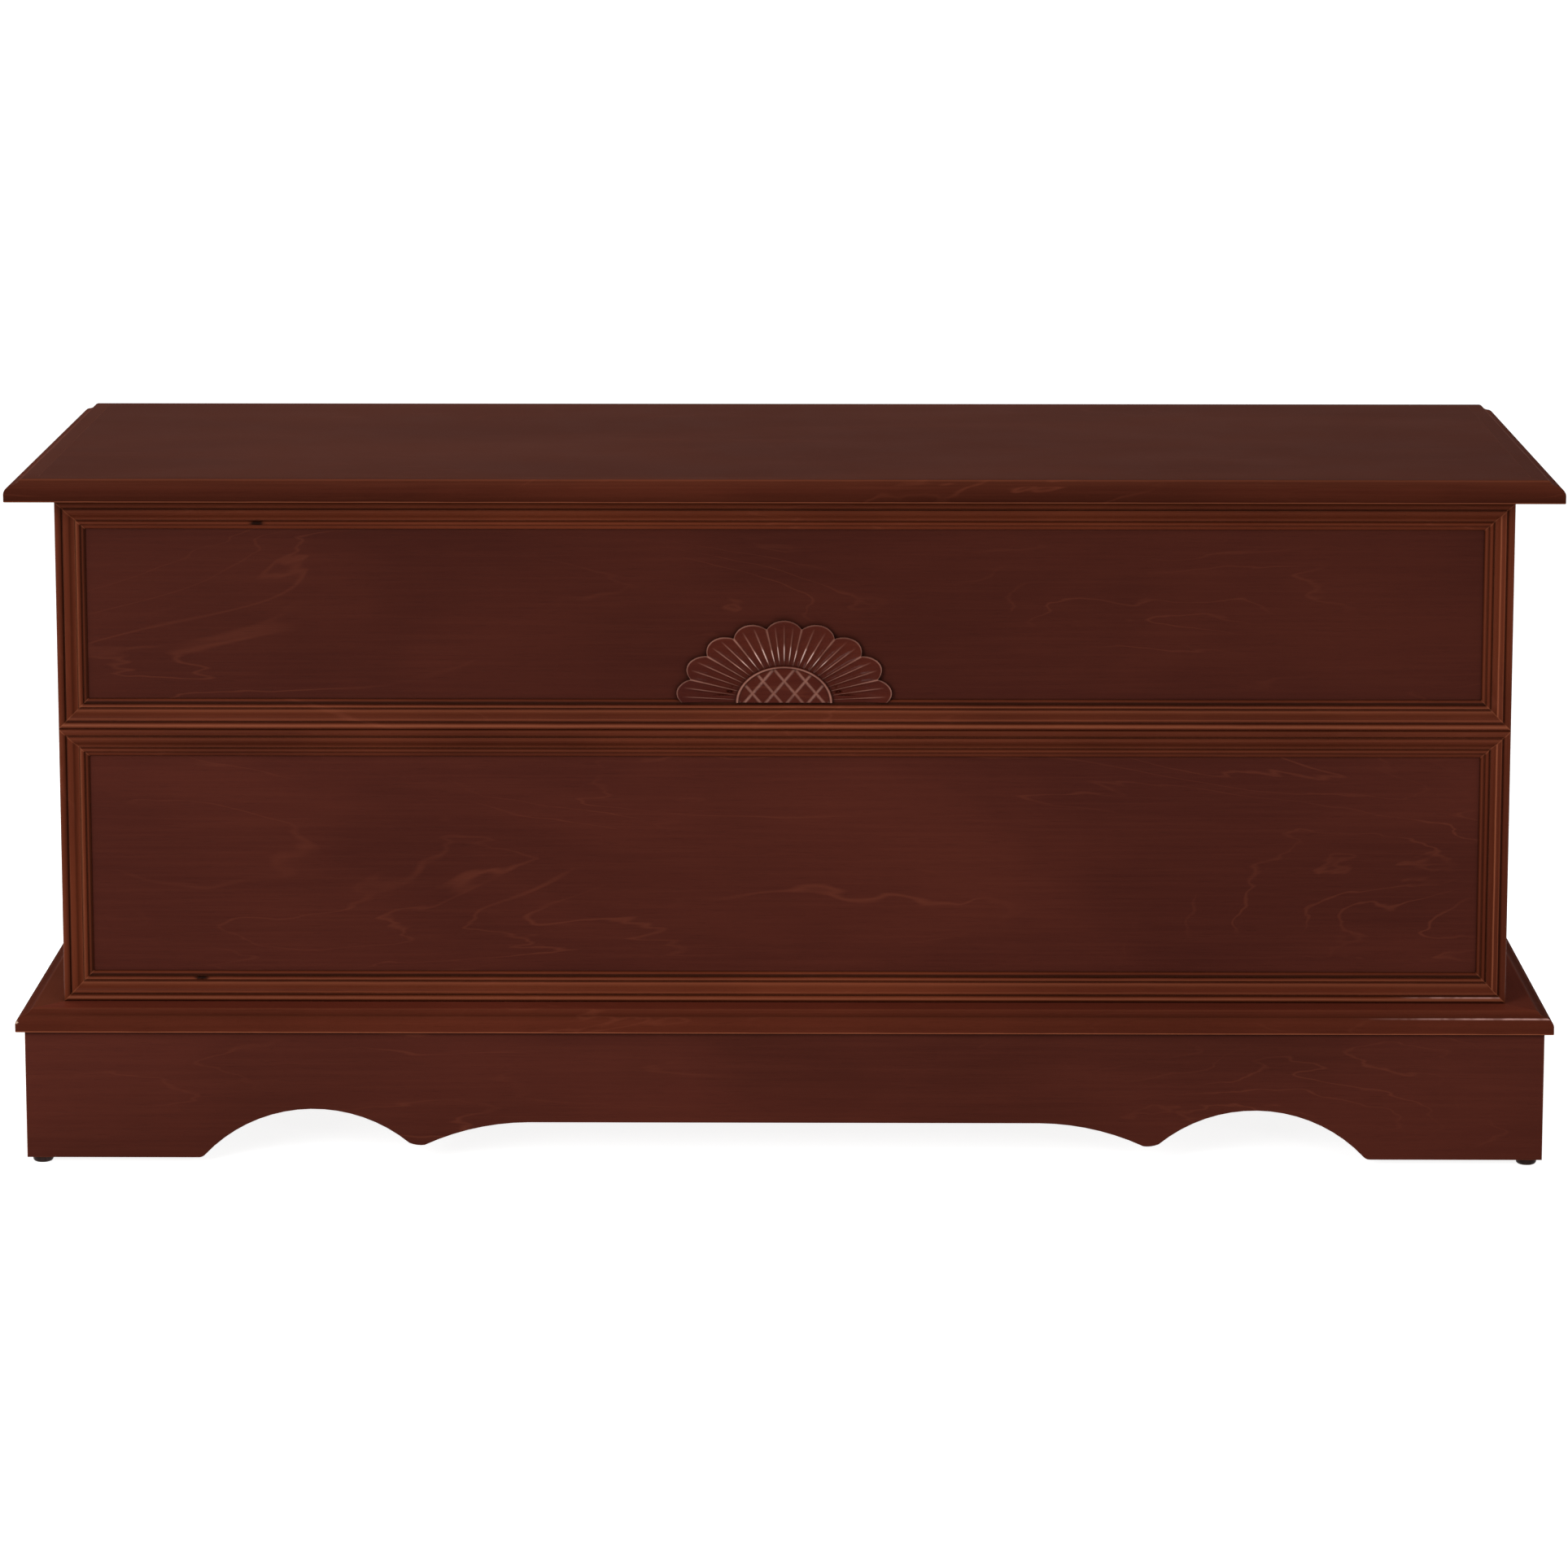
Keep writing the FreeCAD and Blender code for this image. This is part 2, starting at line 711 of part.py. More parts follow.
def make_left_stay():
    """Two equal arms and two brackets: a rhombus with the hinge line as its fourth corner."""
    wall, lid, knee, drop = stay_points()
    x_wall = -inner_half
    x_lower = x_wall + arm_thickness + arm_wall_gap
    x_upper = x_lower + arm_thickness + arm_gap
    x_ear = x_upper + arm_thickness + arm_gap
    hole = rivet_radius + running_clearance

    plate_reach = bracket_half_length - bracket_half_width
    plate = strap((wall[0], wall[1] - plate_reach), (wall[0], wall[1] + plate_reach), x_wall,
                  bracket_half_width)
    plate = plate.cut(along_x(rivet_radius, x_wall, x_lower, *wall))

    tail_turn = math.pi + drop
    tail = (knee[0] + stop_distance * math.cos(tail_turn), knee[1] + stop_distance * math.sin(tail_turn))
    lower = strap(wall, tail, x_lower, arm_half_width)
    lower = lower.cut(along_x(hole, x_wall, x_upper, *wall))
    lower = lower.cut(along_x(rivet_radius, x_wall, x_upper, *knee))
    open_angle = math.radians(stay_wall_angle + lid_open_angle) - drop
    stop_offset = math.asin((arm_half_width + stop_radius + stop_clearance) / stop_distance)
    stop_turn = drop + open_angle + stop_offset
    stop = (knee[0] + stop_distance * math.cos(stop_turn), knee[1] + stop_distance * math.sin(stop_turn))
    lower = lower.fuse(along_x(stop_radius, x_lower + arm_thickness, x_ear, *stop))

    upper = strap(knee, lid, x_upper, arm_half_width)
    upper = upper.cut(along_x(rivet_radius + knee_clearance, x_wall, x_ear, *knee))
    upper = upper.cut(along_x(hole, x_wall, x_ear, *lid))

    z_flange = z_lid - arm_thickness
    x_flange = x_ear + flange_width
    ear = outline(
        lambda y, z: Vec(x_ear, y, z),
        (lid[0] - bracket_half_width, z_lid),
        (lid[0] - bracket_half_width, lid[1]),
        (lid[0], lid[1] - bracket_half_width, lid[0] + bracket_half_width, lid[1]),
        (lid[0] + bracket_half_width, z_lid),
    ).extrude(Vec(arm_thickness, 0, 0))
    flange = box(x_ear, x_flange, lid[0] - bracket_half_length, lid[0] + bracket_half_length, z_flange, z_lid)
    hanger = ear.fuse(flange).removeSplitter()
    hanger = hanger.cut(along_x(rivet_radius, x_wall, x_flange, *lid))

    x_lower_end = x_lower + arm_thickness
    x_upper_end = x_upper + arm_thickness
    return {
        "stay_wall_bracket": plate,
        "stay_lower_arm": lower,
        "stay_upper_arm": upper,
        "stay_lid_bracket": hanger,
        "stay_wall_rivet": rivet(wall, x_wall, x_lower_end + rivet_head_gap, False, True),
        "stay_knee_rivet": rivet(knee, x_lower, x_upper_end + rivet_head_gap, False, True),
        "stay_lid_rivet": rivet(lid, x_upper - rivet_head_gap, x_ear + arm_thickness, True, False),
    }


def make_stays():
    """The same stay inside both ends of the chest."""
    nodes = {}
    for name, shape in make_left_stay().items():
        nodes[name + "_left"] = shape
        nodes[name + "_right"] = mirrored(shape)
    return nodes


# ---------------------------------------------------------------- the whole chest
def make_chest():
    """Every node of the chest by name."""
    nodes = {}
    nodes.update(make_plinth())
    nodes.update(make_corner_blocks())
    nodes["glides"] = make_glides()
    nodes.update(make_base_boards())
    nodes.update(make_case())
    nodes.update(make_frame("lower_frame", z_case, z_seam))
    nodes.update(make_frame("upper_frame", z_seam, z_rim))
    nodes["carved_fan"] = make_fan()
    nodes["lid_bumpers"] = make_bumpers()
    nodes.update(make_lid_boards())
    nodes.update(make_hinges())
    nodes.update(make_stays())
    return nodes


os.makedirs("parts", exist_ok=True)
for node, shape in make_chest().items():
    shape.exportStep(os.path.join("parts", node + ".step"))
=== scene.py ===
"""Scene of a carved cherry chest: finishes, carved fan, small hardware, light and camera."""
import logging
import math
from collections.abc import Iterator
from contextlib import contextmanager
from dataclasses import dataclass, field, replace
from enum import Enum

import bpy
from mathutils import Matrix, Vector


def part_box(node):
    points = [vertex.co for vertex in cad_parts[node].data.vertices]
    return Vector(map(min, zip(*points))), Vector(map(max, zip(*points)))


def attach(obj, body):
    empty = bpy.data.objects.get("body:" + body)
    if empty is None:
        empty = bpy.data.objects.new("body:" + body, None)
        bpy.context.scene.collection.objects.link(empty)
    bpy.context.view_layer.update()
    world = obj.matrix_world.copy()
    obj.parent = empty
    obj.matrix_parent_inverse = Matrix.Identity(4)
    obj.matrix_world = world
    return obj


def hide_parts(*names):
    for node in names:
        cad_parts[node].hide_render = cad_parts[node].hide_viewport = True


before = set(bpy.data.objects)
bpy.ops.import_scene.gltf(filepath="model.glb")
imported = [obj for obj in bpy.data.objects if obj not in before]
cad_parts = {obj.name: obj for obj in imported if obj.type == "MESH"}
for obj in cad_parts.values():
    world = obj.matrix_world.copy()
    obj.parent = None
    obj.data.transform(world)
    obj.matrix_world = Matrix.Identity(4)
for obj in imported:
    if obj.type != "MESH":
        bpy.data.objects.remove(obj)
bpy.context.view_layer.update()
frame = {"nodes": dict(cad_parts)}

LOG = logging.getLogger("chest")
MM = 0.001
ORIGIN = (0.0, 0.0, 0.0)
EVEN = (1.0, 1.0, 1.0)
WHITE = (1.0, 1.0, 1.0, 1.0)
WELD = 0.005 * MM
SEED_STEPS = ((1.37, 7.1), (2.11, 5.3), (0.73, 3.7))

Colour = tuple[float, float, float, float]
Point = tuple[float, float, float]
Stops = tuple[tuple[float, float], ...]
Places = list[tuple[Point, Point]]
Material = bpy.types.Material
Object = bpy.types.Object
Socket = bpy.types.NodeSocket
Value = float | Socket


def tone(red: int, green: int, blue: int) -> Colour:
    """Linear colour of a tone given in steps of 0 to 255.

    Args:
        red: steps of red.
        green: steps of green.
        blue: steps of blue.

    Returns:
        The linear colour with full alpha.
    """
    steps = [part / 255 for part in (red, green, blue)]
    linear = [part / 12.92 if part <= 0.04045 else ((part + 0.055) / 1.055) ** 2.4
              for part in steps]
    return (linear[0], linear[1], linear[2], 1.0)


class Run(Enum):
    """Way that a board's grain runs, as the turn that lays it along X."""

    ALONG_X = ORIGIN
    ALONG_Y = (0.0, 0.0, math.pi / 2)
    ALONG_Z = (0.0, math.pi / 2, 0.0)


# --- material nodes
class Graph:
    """One node tree, with a short call for each kind of node."""

    def __init__(self, owner: Material | bpy.types.World) -> None:
        """Empty the tree.

        Args:
            owner: the material or world that it belongs to.
        """
        owner.use_nodes = True
        self.tree = owner.node_tree
        self.tree.nodes.clear()

    def node(self, kind: str, settings: dict[str, object] | None = None,
             sockets: dict[str | int, object] | None = None) -> bpy.types.Node:
        """Add a node.

        Args:
            kind: the node's type, after "ShaderNode".
            settings: properties to set on it.
            sockets: values or links for its inputs.

        Returns:
            The new node.
        """
        made = self.tree.nodes.new("ShaderNode" + kind)
        for name, value in (settings or {}).items():
            setattr(made, name, value)
        for key, value in (sockets or {}).items():
            if isinstance(value, Socket):
                self.tree.links.new(value, made.inputs[key])
            else:
                made.inputs[key].default_value = value
        return made

    def math(self, operation: str, first: Value, second: Value = 0.0, third: Value = 0.0) -> Socket:
        """Result of a Math node."""
        return self.node("Math", {"operation": operation}, {0: first, 1: second, 2: third}).outputs[0]

    def product(self, first: Value, *others: Value) -> Socket:
        """Product of two or more values.

        Args:
            first: first value.
            others: the other values.

        Returns:
            The product's socket.
        """
        for other in others:
            first = self.math("MULTIPLY", first, other)
        return first

    def span(self, value: Value, low: float, high: float, start: float = 0.0,
             end: float = 1.0) -> Socket:
        """Smooth step of a value: start where it is low, end where it is high."""
        return self.node("MapRange", {"interpolation_type": "SMOOTHSTEP"}, {
            "Value": value, "From Min": low, "From Max": high,
            "To Min": start, "To Max": end}).outputs["Result"]

    def blend(self, share: Value, under: Colour | Socket, over: Colour | Socket) -> Socket:
        """Colour with a share of another laid over it."""
        return self.node("Mix", {"data_type": "RGBA"}, {0: share, 6: under, 7: over}).outputs[2]

    def seen(self) -> Socket:
        """Tell the rays that show a thing from the rays that only light it.

        Returns:
            One on rays from the camera and from glossy and clear surfaces, else nought.
        """
        path = self.node("LightPath").outputs
        direct = self.math("MAXIMUM", path["Is Camera Ray"], path["Is Glossy Ray"])
        return self.math("MAXIMUM", direct, path["Is Transmission Ray"])


class Finish(Graph):
    """Node tree of one material, with what every finish is made of."""

    def __init__(self, name: str, run: Run | None = None, seed: int = 0) -> None:
        """Start an empty material.

        Args:
            name: its name.
            run: way of the grain, where it is a board's.
            seed: picks the part of the tree that the board is cut from.
        """
        self.material = bpy.data.materials.new(name)
        super().__init__(self.material)
        self.place = self.node("TexCoord").outputs["Object"]
        self.board = self.cut(run, seed) if run else self.place

    def axes(self) -> list[Socket]:
        """X, Y and Z of the place."""
        return list(self.node("SeparateXYZ", {}, {0: self.place}).outputs)

    def noise(self, vector: Socket, scale: float, detail: float = 2.0, roughness: float = 0.5,
              warp: float = 0.0) -> Socket:
        """Value of a noise texture with that many cells to a metre."""
        return self.node("TexNoise", {}, {
            "Vector": vector, "Scale": scale, "Detail": detail, "Roughness": roughness,
            "Distortion": warp}).outputs["Fac"]

    def mapped(self, vector: Socket, shift: Point = ORIGIN, turn: Point = ORIGIN,
               stretch: Point = EVEN) -> Socket:
        """Vector moved, turned and stretched by a Mapping node."""
        return self.node("Mapping", {}, {
            "Vector": vector, "Location": shift, "Rotation": turn, "Scale": stretch}).outputs[0]

    def grain(self, along: float, across: float, detail: float = 2.0, roughness: float = 0.5,
              warp: float = 0.0, turn: Point = ORIGIN) -> Socket:
        """Noise on the board with so many cells to a metre along the grain and so many across it."""
        drawn = self.mapped(self.board, turn=turn, stretch=(along, across, across))
        return self.noise(drawn, 1.0, detail, roughness, warp)

    def cut(self, run: Run, seed: int) -> Socket:
        """Coordinates with the grain along X, in the part of the tree that a seed picks."""
        shift = tuple(seed * step % wrap for step, wrap in SEED_STEPS)
        return self.mapped(self.mapped(self.place, turn=run.value), shift=shift)

    def corner(self, reach: float, samples: int) -> Socket:
        """One in the open and less in corners, which are felt out to a reach."""
        return self.node("AmbientOcclusion", {"samples": samples}, {"Distance": reach}).outputs["AO"]

    def surface(self, colour: Socket, roughness: Socket, constants: dict[str, float],
                relief: dict[str, Value]) -> Material:
        """Join everything in the material's shader.

        Args:
            colour: its colour.
            roughness: its roughness.
            constants: the shader's other values.
            relief: values and links of its bump.

        Returns:
            The finished material.
        """
        bump = self.node("Bump", {}, relief)
        shader = self.node("BsdfPrincipled", {}, {
            "Base Color": colour, "Roughness": roughness, "Normal": bump.outputs[0]} | constants)
        return self.finished(shader)

    def finished(self, shader: bpy.types.Node) -> Material:
        """Material with a shader joined to its output."""
        self.node("OutputMaterial", {}, {"Surface": shader.outputs[0]})
        return self.material


# --- finishes
@dataclass(frozen=True)
class Mitre:
    """Corners of one picture frame moulding, where a pale hairline shows the joint."""

    half_width: float
    middle: float
    half_height: float
    hairline: float = 0.32 * MM
    share: float = 0.3

    def insets(self, graph: Finish) -> tuple[Socket, Socket]:
        """Distances in from the nearer end and from the nearer long edge.

        Args:
            graph: their tree.

        Returns:
            Both distances.
        """
        x, _, z = graph.axes()
        across = graph.math("SUBTRACT", self.half_width, graph.math("ABSOLUTE", x))
        rise = graph.math("ABSOLUTE", graph.math("SUBTRACT", z, self.middle))
        return across, graph.math("SUBTRACT", self.half_height, rise)

    def mask(self, graph: Finish) -> Socket:
        """Mask of the four joint lines.

        Args:
            graph: its tree.

        Returns:
            The mask's socket.
        """
        across, up = self.insets(graph)
        off = graph.math("ABSOLUTE", graph.math("SUBTRACT", across, up))
        return graph.span(off, self.hairline, 2.2 * self.hairline, self.share, 0.0)


@dataclass(frozen=True)
class Spot:
    """Small round mark with a ragged rim."""

    radius: float
    core: float
    cells: float
    ragged: float
    squeeze: float = 1.0

    def mask(self, graph: Finish, where: Point) -> Socket:
        """Mask of one mark.

        Args:
            graph: its tree.
            where: its middle.

        Returns:
            The mask's socket.
        """
        middle = (where[0] * self.squeeze, where[1], where[2])
        place = graph.mapped(graph.place, stretch=(self.squeeze, 1.0, 1.0))
        gap = graph.node("VectorMath", {"operation": "DISTANCE"}, {0: place, 1: middle})
        wobble = graph.math("MULTIPLY", graph.noise(graph.board, self.cells), self.ragged)
        off = graph.math("ADD", gap.outputs["Value"], wobble)
        return graph.span(off, self.core, self.radius, 1.0, 0.0)


KNOT = Spot(4.6 * MM, 2.2 * MM, 420.0, 2.2 * MM, 0.45)
CHIP = Spot(3.4 * MM, 2.8 * MM, 900.0, 3.0 * MM)


@dataclass(frozen=True)
class Gleam:
    """Painted highlight: a pale streak of reflected light along the right-hand part of a moulding's
    crown.
    """

    start: float
    full: float
    height: float
    width: float
    share: float
    pale: Colour = tone(206, 158, 148)

    def mask(self, graph: Finish) -> Socket:
        """Mask of the streak, broken up along the grain.

        Args:
            graph: its tree.

        Returns:
            The mask's socket.
        """
        x, _, z = graph.axes()
        off = graph.math("ABSOLUTE", graph.math("SUBTRACT", z, self.height))
        line = graph.span(off, 0.3 * self.width, self.width, self.share, 0.0)
        broken = graph.span(graph.noise(graph.board, 90.0), 0.34, 0.54, 0.45, 1.0)
        return graph.product(line, broken, graph.span(x, self.start, self.full))


@dataclass(frozen=True)
class ShadeStripes:
    """Painted light and shade in bands across a moulding: darker where its hollows and shaded faces
    are, lighter on its lit crowns.

    They follow the distance in from a frame's outer edge where there is a mitre, or else the height
    over start. A stop is a place in millimetres and a level: 0 is painted shade at its darkest, 0.5 is
    plain and 1 is a full painted highlight.
    """

    stops: Stops
    start: float = 0.0
    mitre: Mitre | None = None
    wander: float = 0.5 * MM
    plain: float = 0.1 * MM

    def level(self, graph: Finish) -> Socket:
        """Level over the moulding.

        Args:
            graph: its tree.

        Returns:
            The level's socket.
        """
        if self.mitre:
            place = graph.math("MINIMUM", *self.mitre.insets(graph))
        else:
            place = graph.math("SUBTRACT", graph.axes()[2], self.start)
        width = self.stops[-1][0]
        uneven = graph.noise(graph.place, 30.0)
        wander = graph.math("MULTIPLY_ADD", uneven, self.wander, -self.wander / 2)
        wander = graph.math("MULTIPLY", wander, graph.span(place, self.plain, self.wander))
        share = graph.math("DIVIDE", graph.math("ADD", place, wander), width * MM)
        ramp = graph.node("ValToRGB", {}, {"Fac": share})
        points = ramp.color_ramp.elements
        for along, value in self.stops[1:-1]:
            points.new(along / width).color = (value, value, value, 1.0)
        for end in (0, -1):
            value = self.stops[end][1]
            points[end].color = (value, value, value, 1.0)
        return ramp.outputs["Color"]


@dataclass(frozen=True)
class Cavity:
    """Inside of the box, which is left bare."""

    half_width: float
    front: float
    back: float
    rim: float

    def mask(self, graph: Finish) -> Socket:
        """Mask of every surface inside the box.

        Args:
            graph: its tree.

        Returns:
            The mask's socket.
        """
        x, y, z = graph.axes()
        inside = graph.math("LESS_THAN", graph.math("ABSOLUTE", x), self.half_width)
        behind = graph.math("GREATER_THAN", y, self.front)
        before = graph.math("LESS_THAN", y, self.back)
        below = graph.math("LESS_THAN", z, self.rim)
        return graph.product(graph.product(inside, behind), graph.product(before, below))


@dataclass(frozen=True)
class Marks:
    """What sets one board apart from the others."""

    mitre: Mitre | None = None
    shade_stripes: ShadeStripes | None = None
    cavity: Cavity | None = None
    top: tuple[float, "Cherry"] | None = None
    knots: tuple[Point, ...] = ()
    chips: tuple[Point, ...] = ()
    gleam: Gleam | None = None
    carved: bool = False


@dataclass(frozen=True)
class Cherry:
    """Cherry boards under a stain, rubbed through at the edges, with a satin lacquer; painted
    highlights on edges and crowns, painted shade in corners and hollows.
    """

    deep: Colour = tone(66, 28, 20)
    warm: Colour = tone(78, 34, 25)
    line: Colour = tone(118, 60, 42)
    rubbed_and_highlight: Colour = tone(158, 90, 62)
    glint: Colour = tone(244, 216, 208)
    soot_and_shade: Colour = tone(26, 8, 3)
    chipped: Colour = tone(190, 160, 140)
    bare_dark: Colour = tone(150, 98, 60)
    bare_pale: Colour = tone(186, 134, 88)
    bare_line: Colour = tone(120, 72, 42)
    line_share: float = 0.27
    wear_and_highlight: float = 0.6
    corner_shade: float = 0.6
    specular: float = 0.03
    roughness: float = 0.42
    edge: float = 1.0 * MM
    round_over: float = 0.6 * MM

    def build(self, name: str, run: Run, seed: int, marks: Marks) -> Material:
        """Make the finish for one board.

        Args:
            name: name of the material.
            run: way of the grain.
            seed: picks the part of the tree that the board is cut from.
            marks: what the board has of its own.

        Returns:
            The material.
        """
        graph = Finish(name, run, seed)
        colour, height = self.figure(graph)
        if marks.shade_stripes:
            level = marks.shade_stripes.level(graph)
            # Painted shade where the level is under 0.5 and a painted highlight where it is over.
            colour = graph.blend(graph.span(level, 0.5, 0.0, 0.0, 0.95), colour, self.soot_and_shade)
            colour = graph.blend(graph.span(level, 0.5, 1.0, 0.0, 0.95), colour, self.rubbed_and_highlight)
        if marks.cavity:
            colour = graph.blend(marks.cavity.mask(graph), colour, self.bare(graph))
        colour = self.marked(graph, self.used(graph, colour, marks.carved), marks)
        rough = graph.span(graph.noise(graph.board, 14.0, 3.0), 0.3, 0.7, self.roughness - 0.02,
                           self.roughness + 0.03)
        rounded = graph.node("Bevel", {"samples": 4}, {"Radius": self.round_over})
        return graph.surface(colour, rough, {"Specular IOR Level": self.specular}, {
            "Strength": 0.35, "Distance": 0.12 * MM, "Height": height, "Normal": rounded.outputs[0]})

    def figure(self, graph: Finish) -> tuple[Socket, Socket]:
        """Grain of the board.

        Args:
            graph: its tree.

        Returns:
            The colour and the height of the surface.
        """
        mottle = graph.grain(3.2, 8.0, 3.0, 0.55, 0.4)
        colour = graph.blend(graph.span(mottle, 0.3, 0.7), self.deep, self.warm)
        flow = graph.grain(1.7, 8.0, 5.0, 0.46, 0.7, turn=(0.0, 0.07, 0.05))
        rings = graph.math("PINGPONG", graph.math("MULTIPLY", flow, 15.0), 0.5)
        lines = graph.span(rings, 0.0, 0.075, 1.0, 0.0)
        patch = graph.span(graph.grain(6.0, 16.0), 0.42, 0.7)
        colour = graph.blend(graph.product(lines, patch, self.line_share), colour, self.line)
        streak = graph.grain(7.0, 330.0, 3.0, 0.6)
        colour = graph.blend(graph.span(streak, 0.35, 0.75, 0.0, 0.07), colour, self.line)
        pitted = graph.span(graph.grain(60.0, 1700.0, 1.0), 0.6, 0.72)
        colour = graph.blend(graph.math("MULTIPLY", pitted, 0.12), colour, self.soot_and_shade)
        return colour, graph.math("SUBTRACT", graph.math("MULTIPLY", streak, 0.5), pitted)

    def bare(self, graph: Finish) -> Socket:
        """Colour of the unstained inside.

        Args:
            graph: its tree.

        Returns:
            The colour's socket.
        """
        broad = graph.span(graph.grain(2.0, 26.0, 4.0, 0.6, 1.2), 0.3, 0.7)
        colour = graph.blend(broad, self.bare_dark, self.bare_pale)
        streak = graph.span(graph.grain(9.0, 420.0), 0.45, 0.7, 0.0, 0.35)
        return graph.blend(streak, colour, self.bare_line)

    def used(self, graph: Finish, colour: Socket, carved: bool) -> Socket:
        """Rubbed edges, partly a painted edge highlight, painted shade in corners, and painted glints
        on a carving.

        Args:
            graph: its tree.
            colour: colour of the board.
            carved: the mesh carries its own wear and painted highlights.

        Returns:
            The colour's socket.
        """
        if carved:
            rubbed_and_highlight = graph.node("Attribute", {"attribute_name": "wear_and_highlight"}).outputs["Fac"]
        else:
            soft = graph.node("Bevel", {"samples": 6}, {"Radius": self.edge})
            flat = graph.node("NewGeometry").outputs["True Normal"]
            facing = graph.node("VectorMath", {"operation": "DOT_PRODUCT"},
                                {0: soft.outputs[0], 1: flat}).outputs["Value"]
            rubbed_and_highlight = graph.span(facing, 0.97, 0.78)
        # Painted shade: where ambient occlusion finds a surface closed in, in corners, recesses and
        # between parts, it is darkened towards the dark stain tone.
        open_air = graph.span(graph.corner(5.0 * MM, 6), 0.35, 0.95)
        closed = graph.math("MULTIPLY", graph.math("SUBTRACT", 1.0, open_air), self.corner_shade)
        colour = graph.blend(closed, colour, self.soot_and_shade)
        blotch = graph.noise(graph.mapped(graph.place, stretch=(22.0, 22.0, 22.0)), 1.0, 4.0, 0.6)
        patchy = graph.span(blotch, 0.3, 0.62, 0.45, 1.0)
        # Partly real wear and partly a painted edge highlight: edges found by the bevel are lightened
        # towards the pale rubbed tone.
        share = graph.product(rubbed_and_highlight, open_air, patchy, self.wear_and_highlight)
        colour = graph.blend(share, colour, self.rubbed_and_highlight)
        # Painted glints: where the carving's mesh wear is highest, the colour goes near white.
        if carved:
            colour = graph.blend(graph.span(rubbed_and_highlight, 0.5, 0.9, 0.0, 0.9), colour, self.glint)
        return colour

    def marked(self, graph: Finish, colour: Socket, marks: Marks) -> Socket:
        """Top face in another finish (a painted lighter copy on the base moulding), knots, chips,
        painted streak of shine and joint lines.

        Args:
            graph: their tree.
            colour: colour of the board.
            marks: what the board has of its own.

        Returns:
            The colour's socket.
        """
        # The top face takes another finish's colours; on the base moulding that is a lighter copy,
        # which is painted light.
        if marks.top:
            height, other = marks.top
            flat = graph.math("GREATER_THAN", graph.axes()[2], height)
            colour = graph.blend(flat, colour, other.figure(graph)[0])
        for where in marks.knots:
            colour = graph.blend(KNOT.mask(graph, where), colour, self.soot_and_shade)
        for where in marks.chips:
            colour = graph.blend(CHIP.mask(graph, where), colour, self.chipped)
        # Painted highlight: a pale streak along part of a moulding's crown.
        if marks.gleam:
            colour = graph.blend(marks.gleam.mask(graph), colour, marks.gleam.pale)
        if marks.mitre:
            colour = graph.blend(marks.mitre.mask(graph), colour, self.rubbed_and_highlight)
        return colour


@dataclass(frozen=True)
class Bare:
    """Unstained secondary wood inside and underneath, with painted shade in its corners."""

    pale: Colour = tone(188, 138, 92)
    dark: Colour = tone(150, 98, 58)
    line: Colour = tone(116, 70, 38)

    def build(self, name: str, run: Run, seed: int) -> Material:
        """Make the finish for one board.

        Args:
            name: name of the material.
            run: way of the grain.
            seed: picks the part of the tree that the board is cut from.

        Returns:
            The material.
        """
        graph = Finish(name, run, seed)
        broad = graph.grain(1.6, 22.0, 4.0, 0.6, 1.0)
        colour = graph.blend(graph.span(broad, 0.3, 0.7), self.dark, self.pale)
        rings = graph.math("PINGPONG", graph.math("MULTIPLY", broad, 14.0), 0.5)
        colour = graph.blend(graph.span(rings, 0.0, 0.3, 0.5, 0.0), colour, self.line)
        streak = graph.grain(9.0, 420.0)
        colour = graph.blend(graph.span(streak, 0.45, 0.7, 0.0, 0.4), colour, self.line)
        # Painted shade: corners that ambient occlusion finds closed in are darkened towards the line
        # tone.
        shade = graph.span(graph.corner(14.0 * MM, 4), 0.3, 1.0, 0.45, 0.0)
        colour = graph.blend(shade, colour, self.line)
        return graph.surface(colour, graph.span(broad, 0.2, 0.8, 0.6, 0.75), {
            "Specular IOR Level": 0.2}, {"Strength": 0.4, "Distance": 0.15 * MM, "Height": streak})


@dataclass(frozen=True)
class Metal:
    """Satin metal, dulled in patches and brighter where it is handled, with painted shade in its
    corners.
    """

    bright: Colour = tone(205, 172, 112)
    dull: Colour = tone(128, 98, 56)
    soot_and_shade: Colour = tone(52, 36, 20)
    roughness: float = 0.34

    def build(self, name: str) -> Material:
        """Make the finish.

        Args:
            name: name of the material.

        Returns:
            The material.
        """
        graph = Finish(name)
        patch = graph.grain(60.0, 60.0, 4.0, 0.6)
        colour = graph.blend(graph.span(patch, 0.35, 0.65), self.dull, self.bright)
        # Painted shade: the metal is darkened towards its dark tone where ambient occlusion finds it
        # closed in.
        shade = graph.span(graph.corner(2.0 * MM, 4), 0.3, 1.0, 0.8, 0.0)
        brush = graph.grain(300.0, 2600.0)
        rough = graph.span(patch, 0.3, 0.7, self.roughness + 0.16, self.roughness)
        return graph.surface(graph.blend(shade, colour, self.soot_and_shade), rough, {"Metallic": 1.0}, {
            "Strength": 0.2, "Distance": 0.03 * MM, "Height": brush})


@dataclass(frozen=True)
class Rubber:
    """Matt dark rubber with a fine grain."""

    body: Colour = tone(38, 33, 30)
    dusty: Colour = tone(66, 60, 56)

    def build(self, name: str) -> Material:
        """Make the finish.

        Args:
            name: name of the material.

        Returns:
            The material.
        """
        graph = Finish(name)
        grain = graph.grain(1500.0, 1500.0)
        dust = graph.span(graph.grain(180.0, 180.0, 3.0), 0.45, 0.75, 0.0, 0.6)
        colour = graph.blend(dust, self.body, self.dusty)
        return graph.surface(colour, graph.span(grain, 0.2, 0.8, 0.66, 0.8), {
            "Specular IOR Level": 0.25}, {"Strength": 0.3, "Distance": 0.05 * MM, "Height": grain})


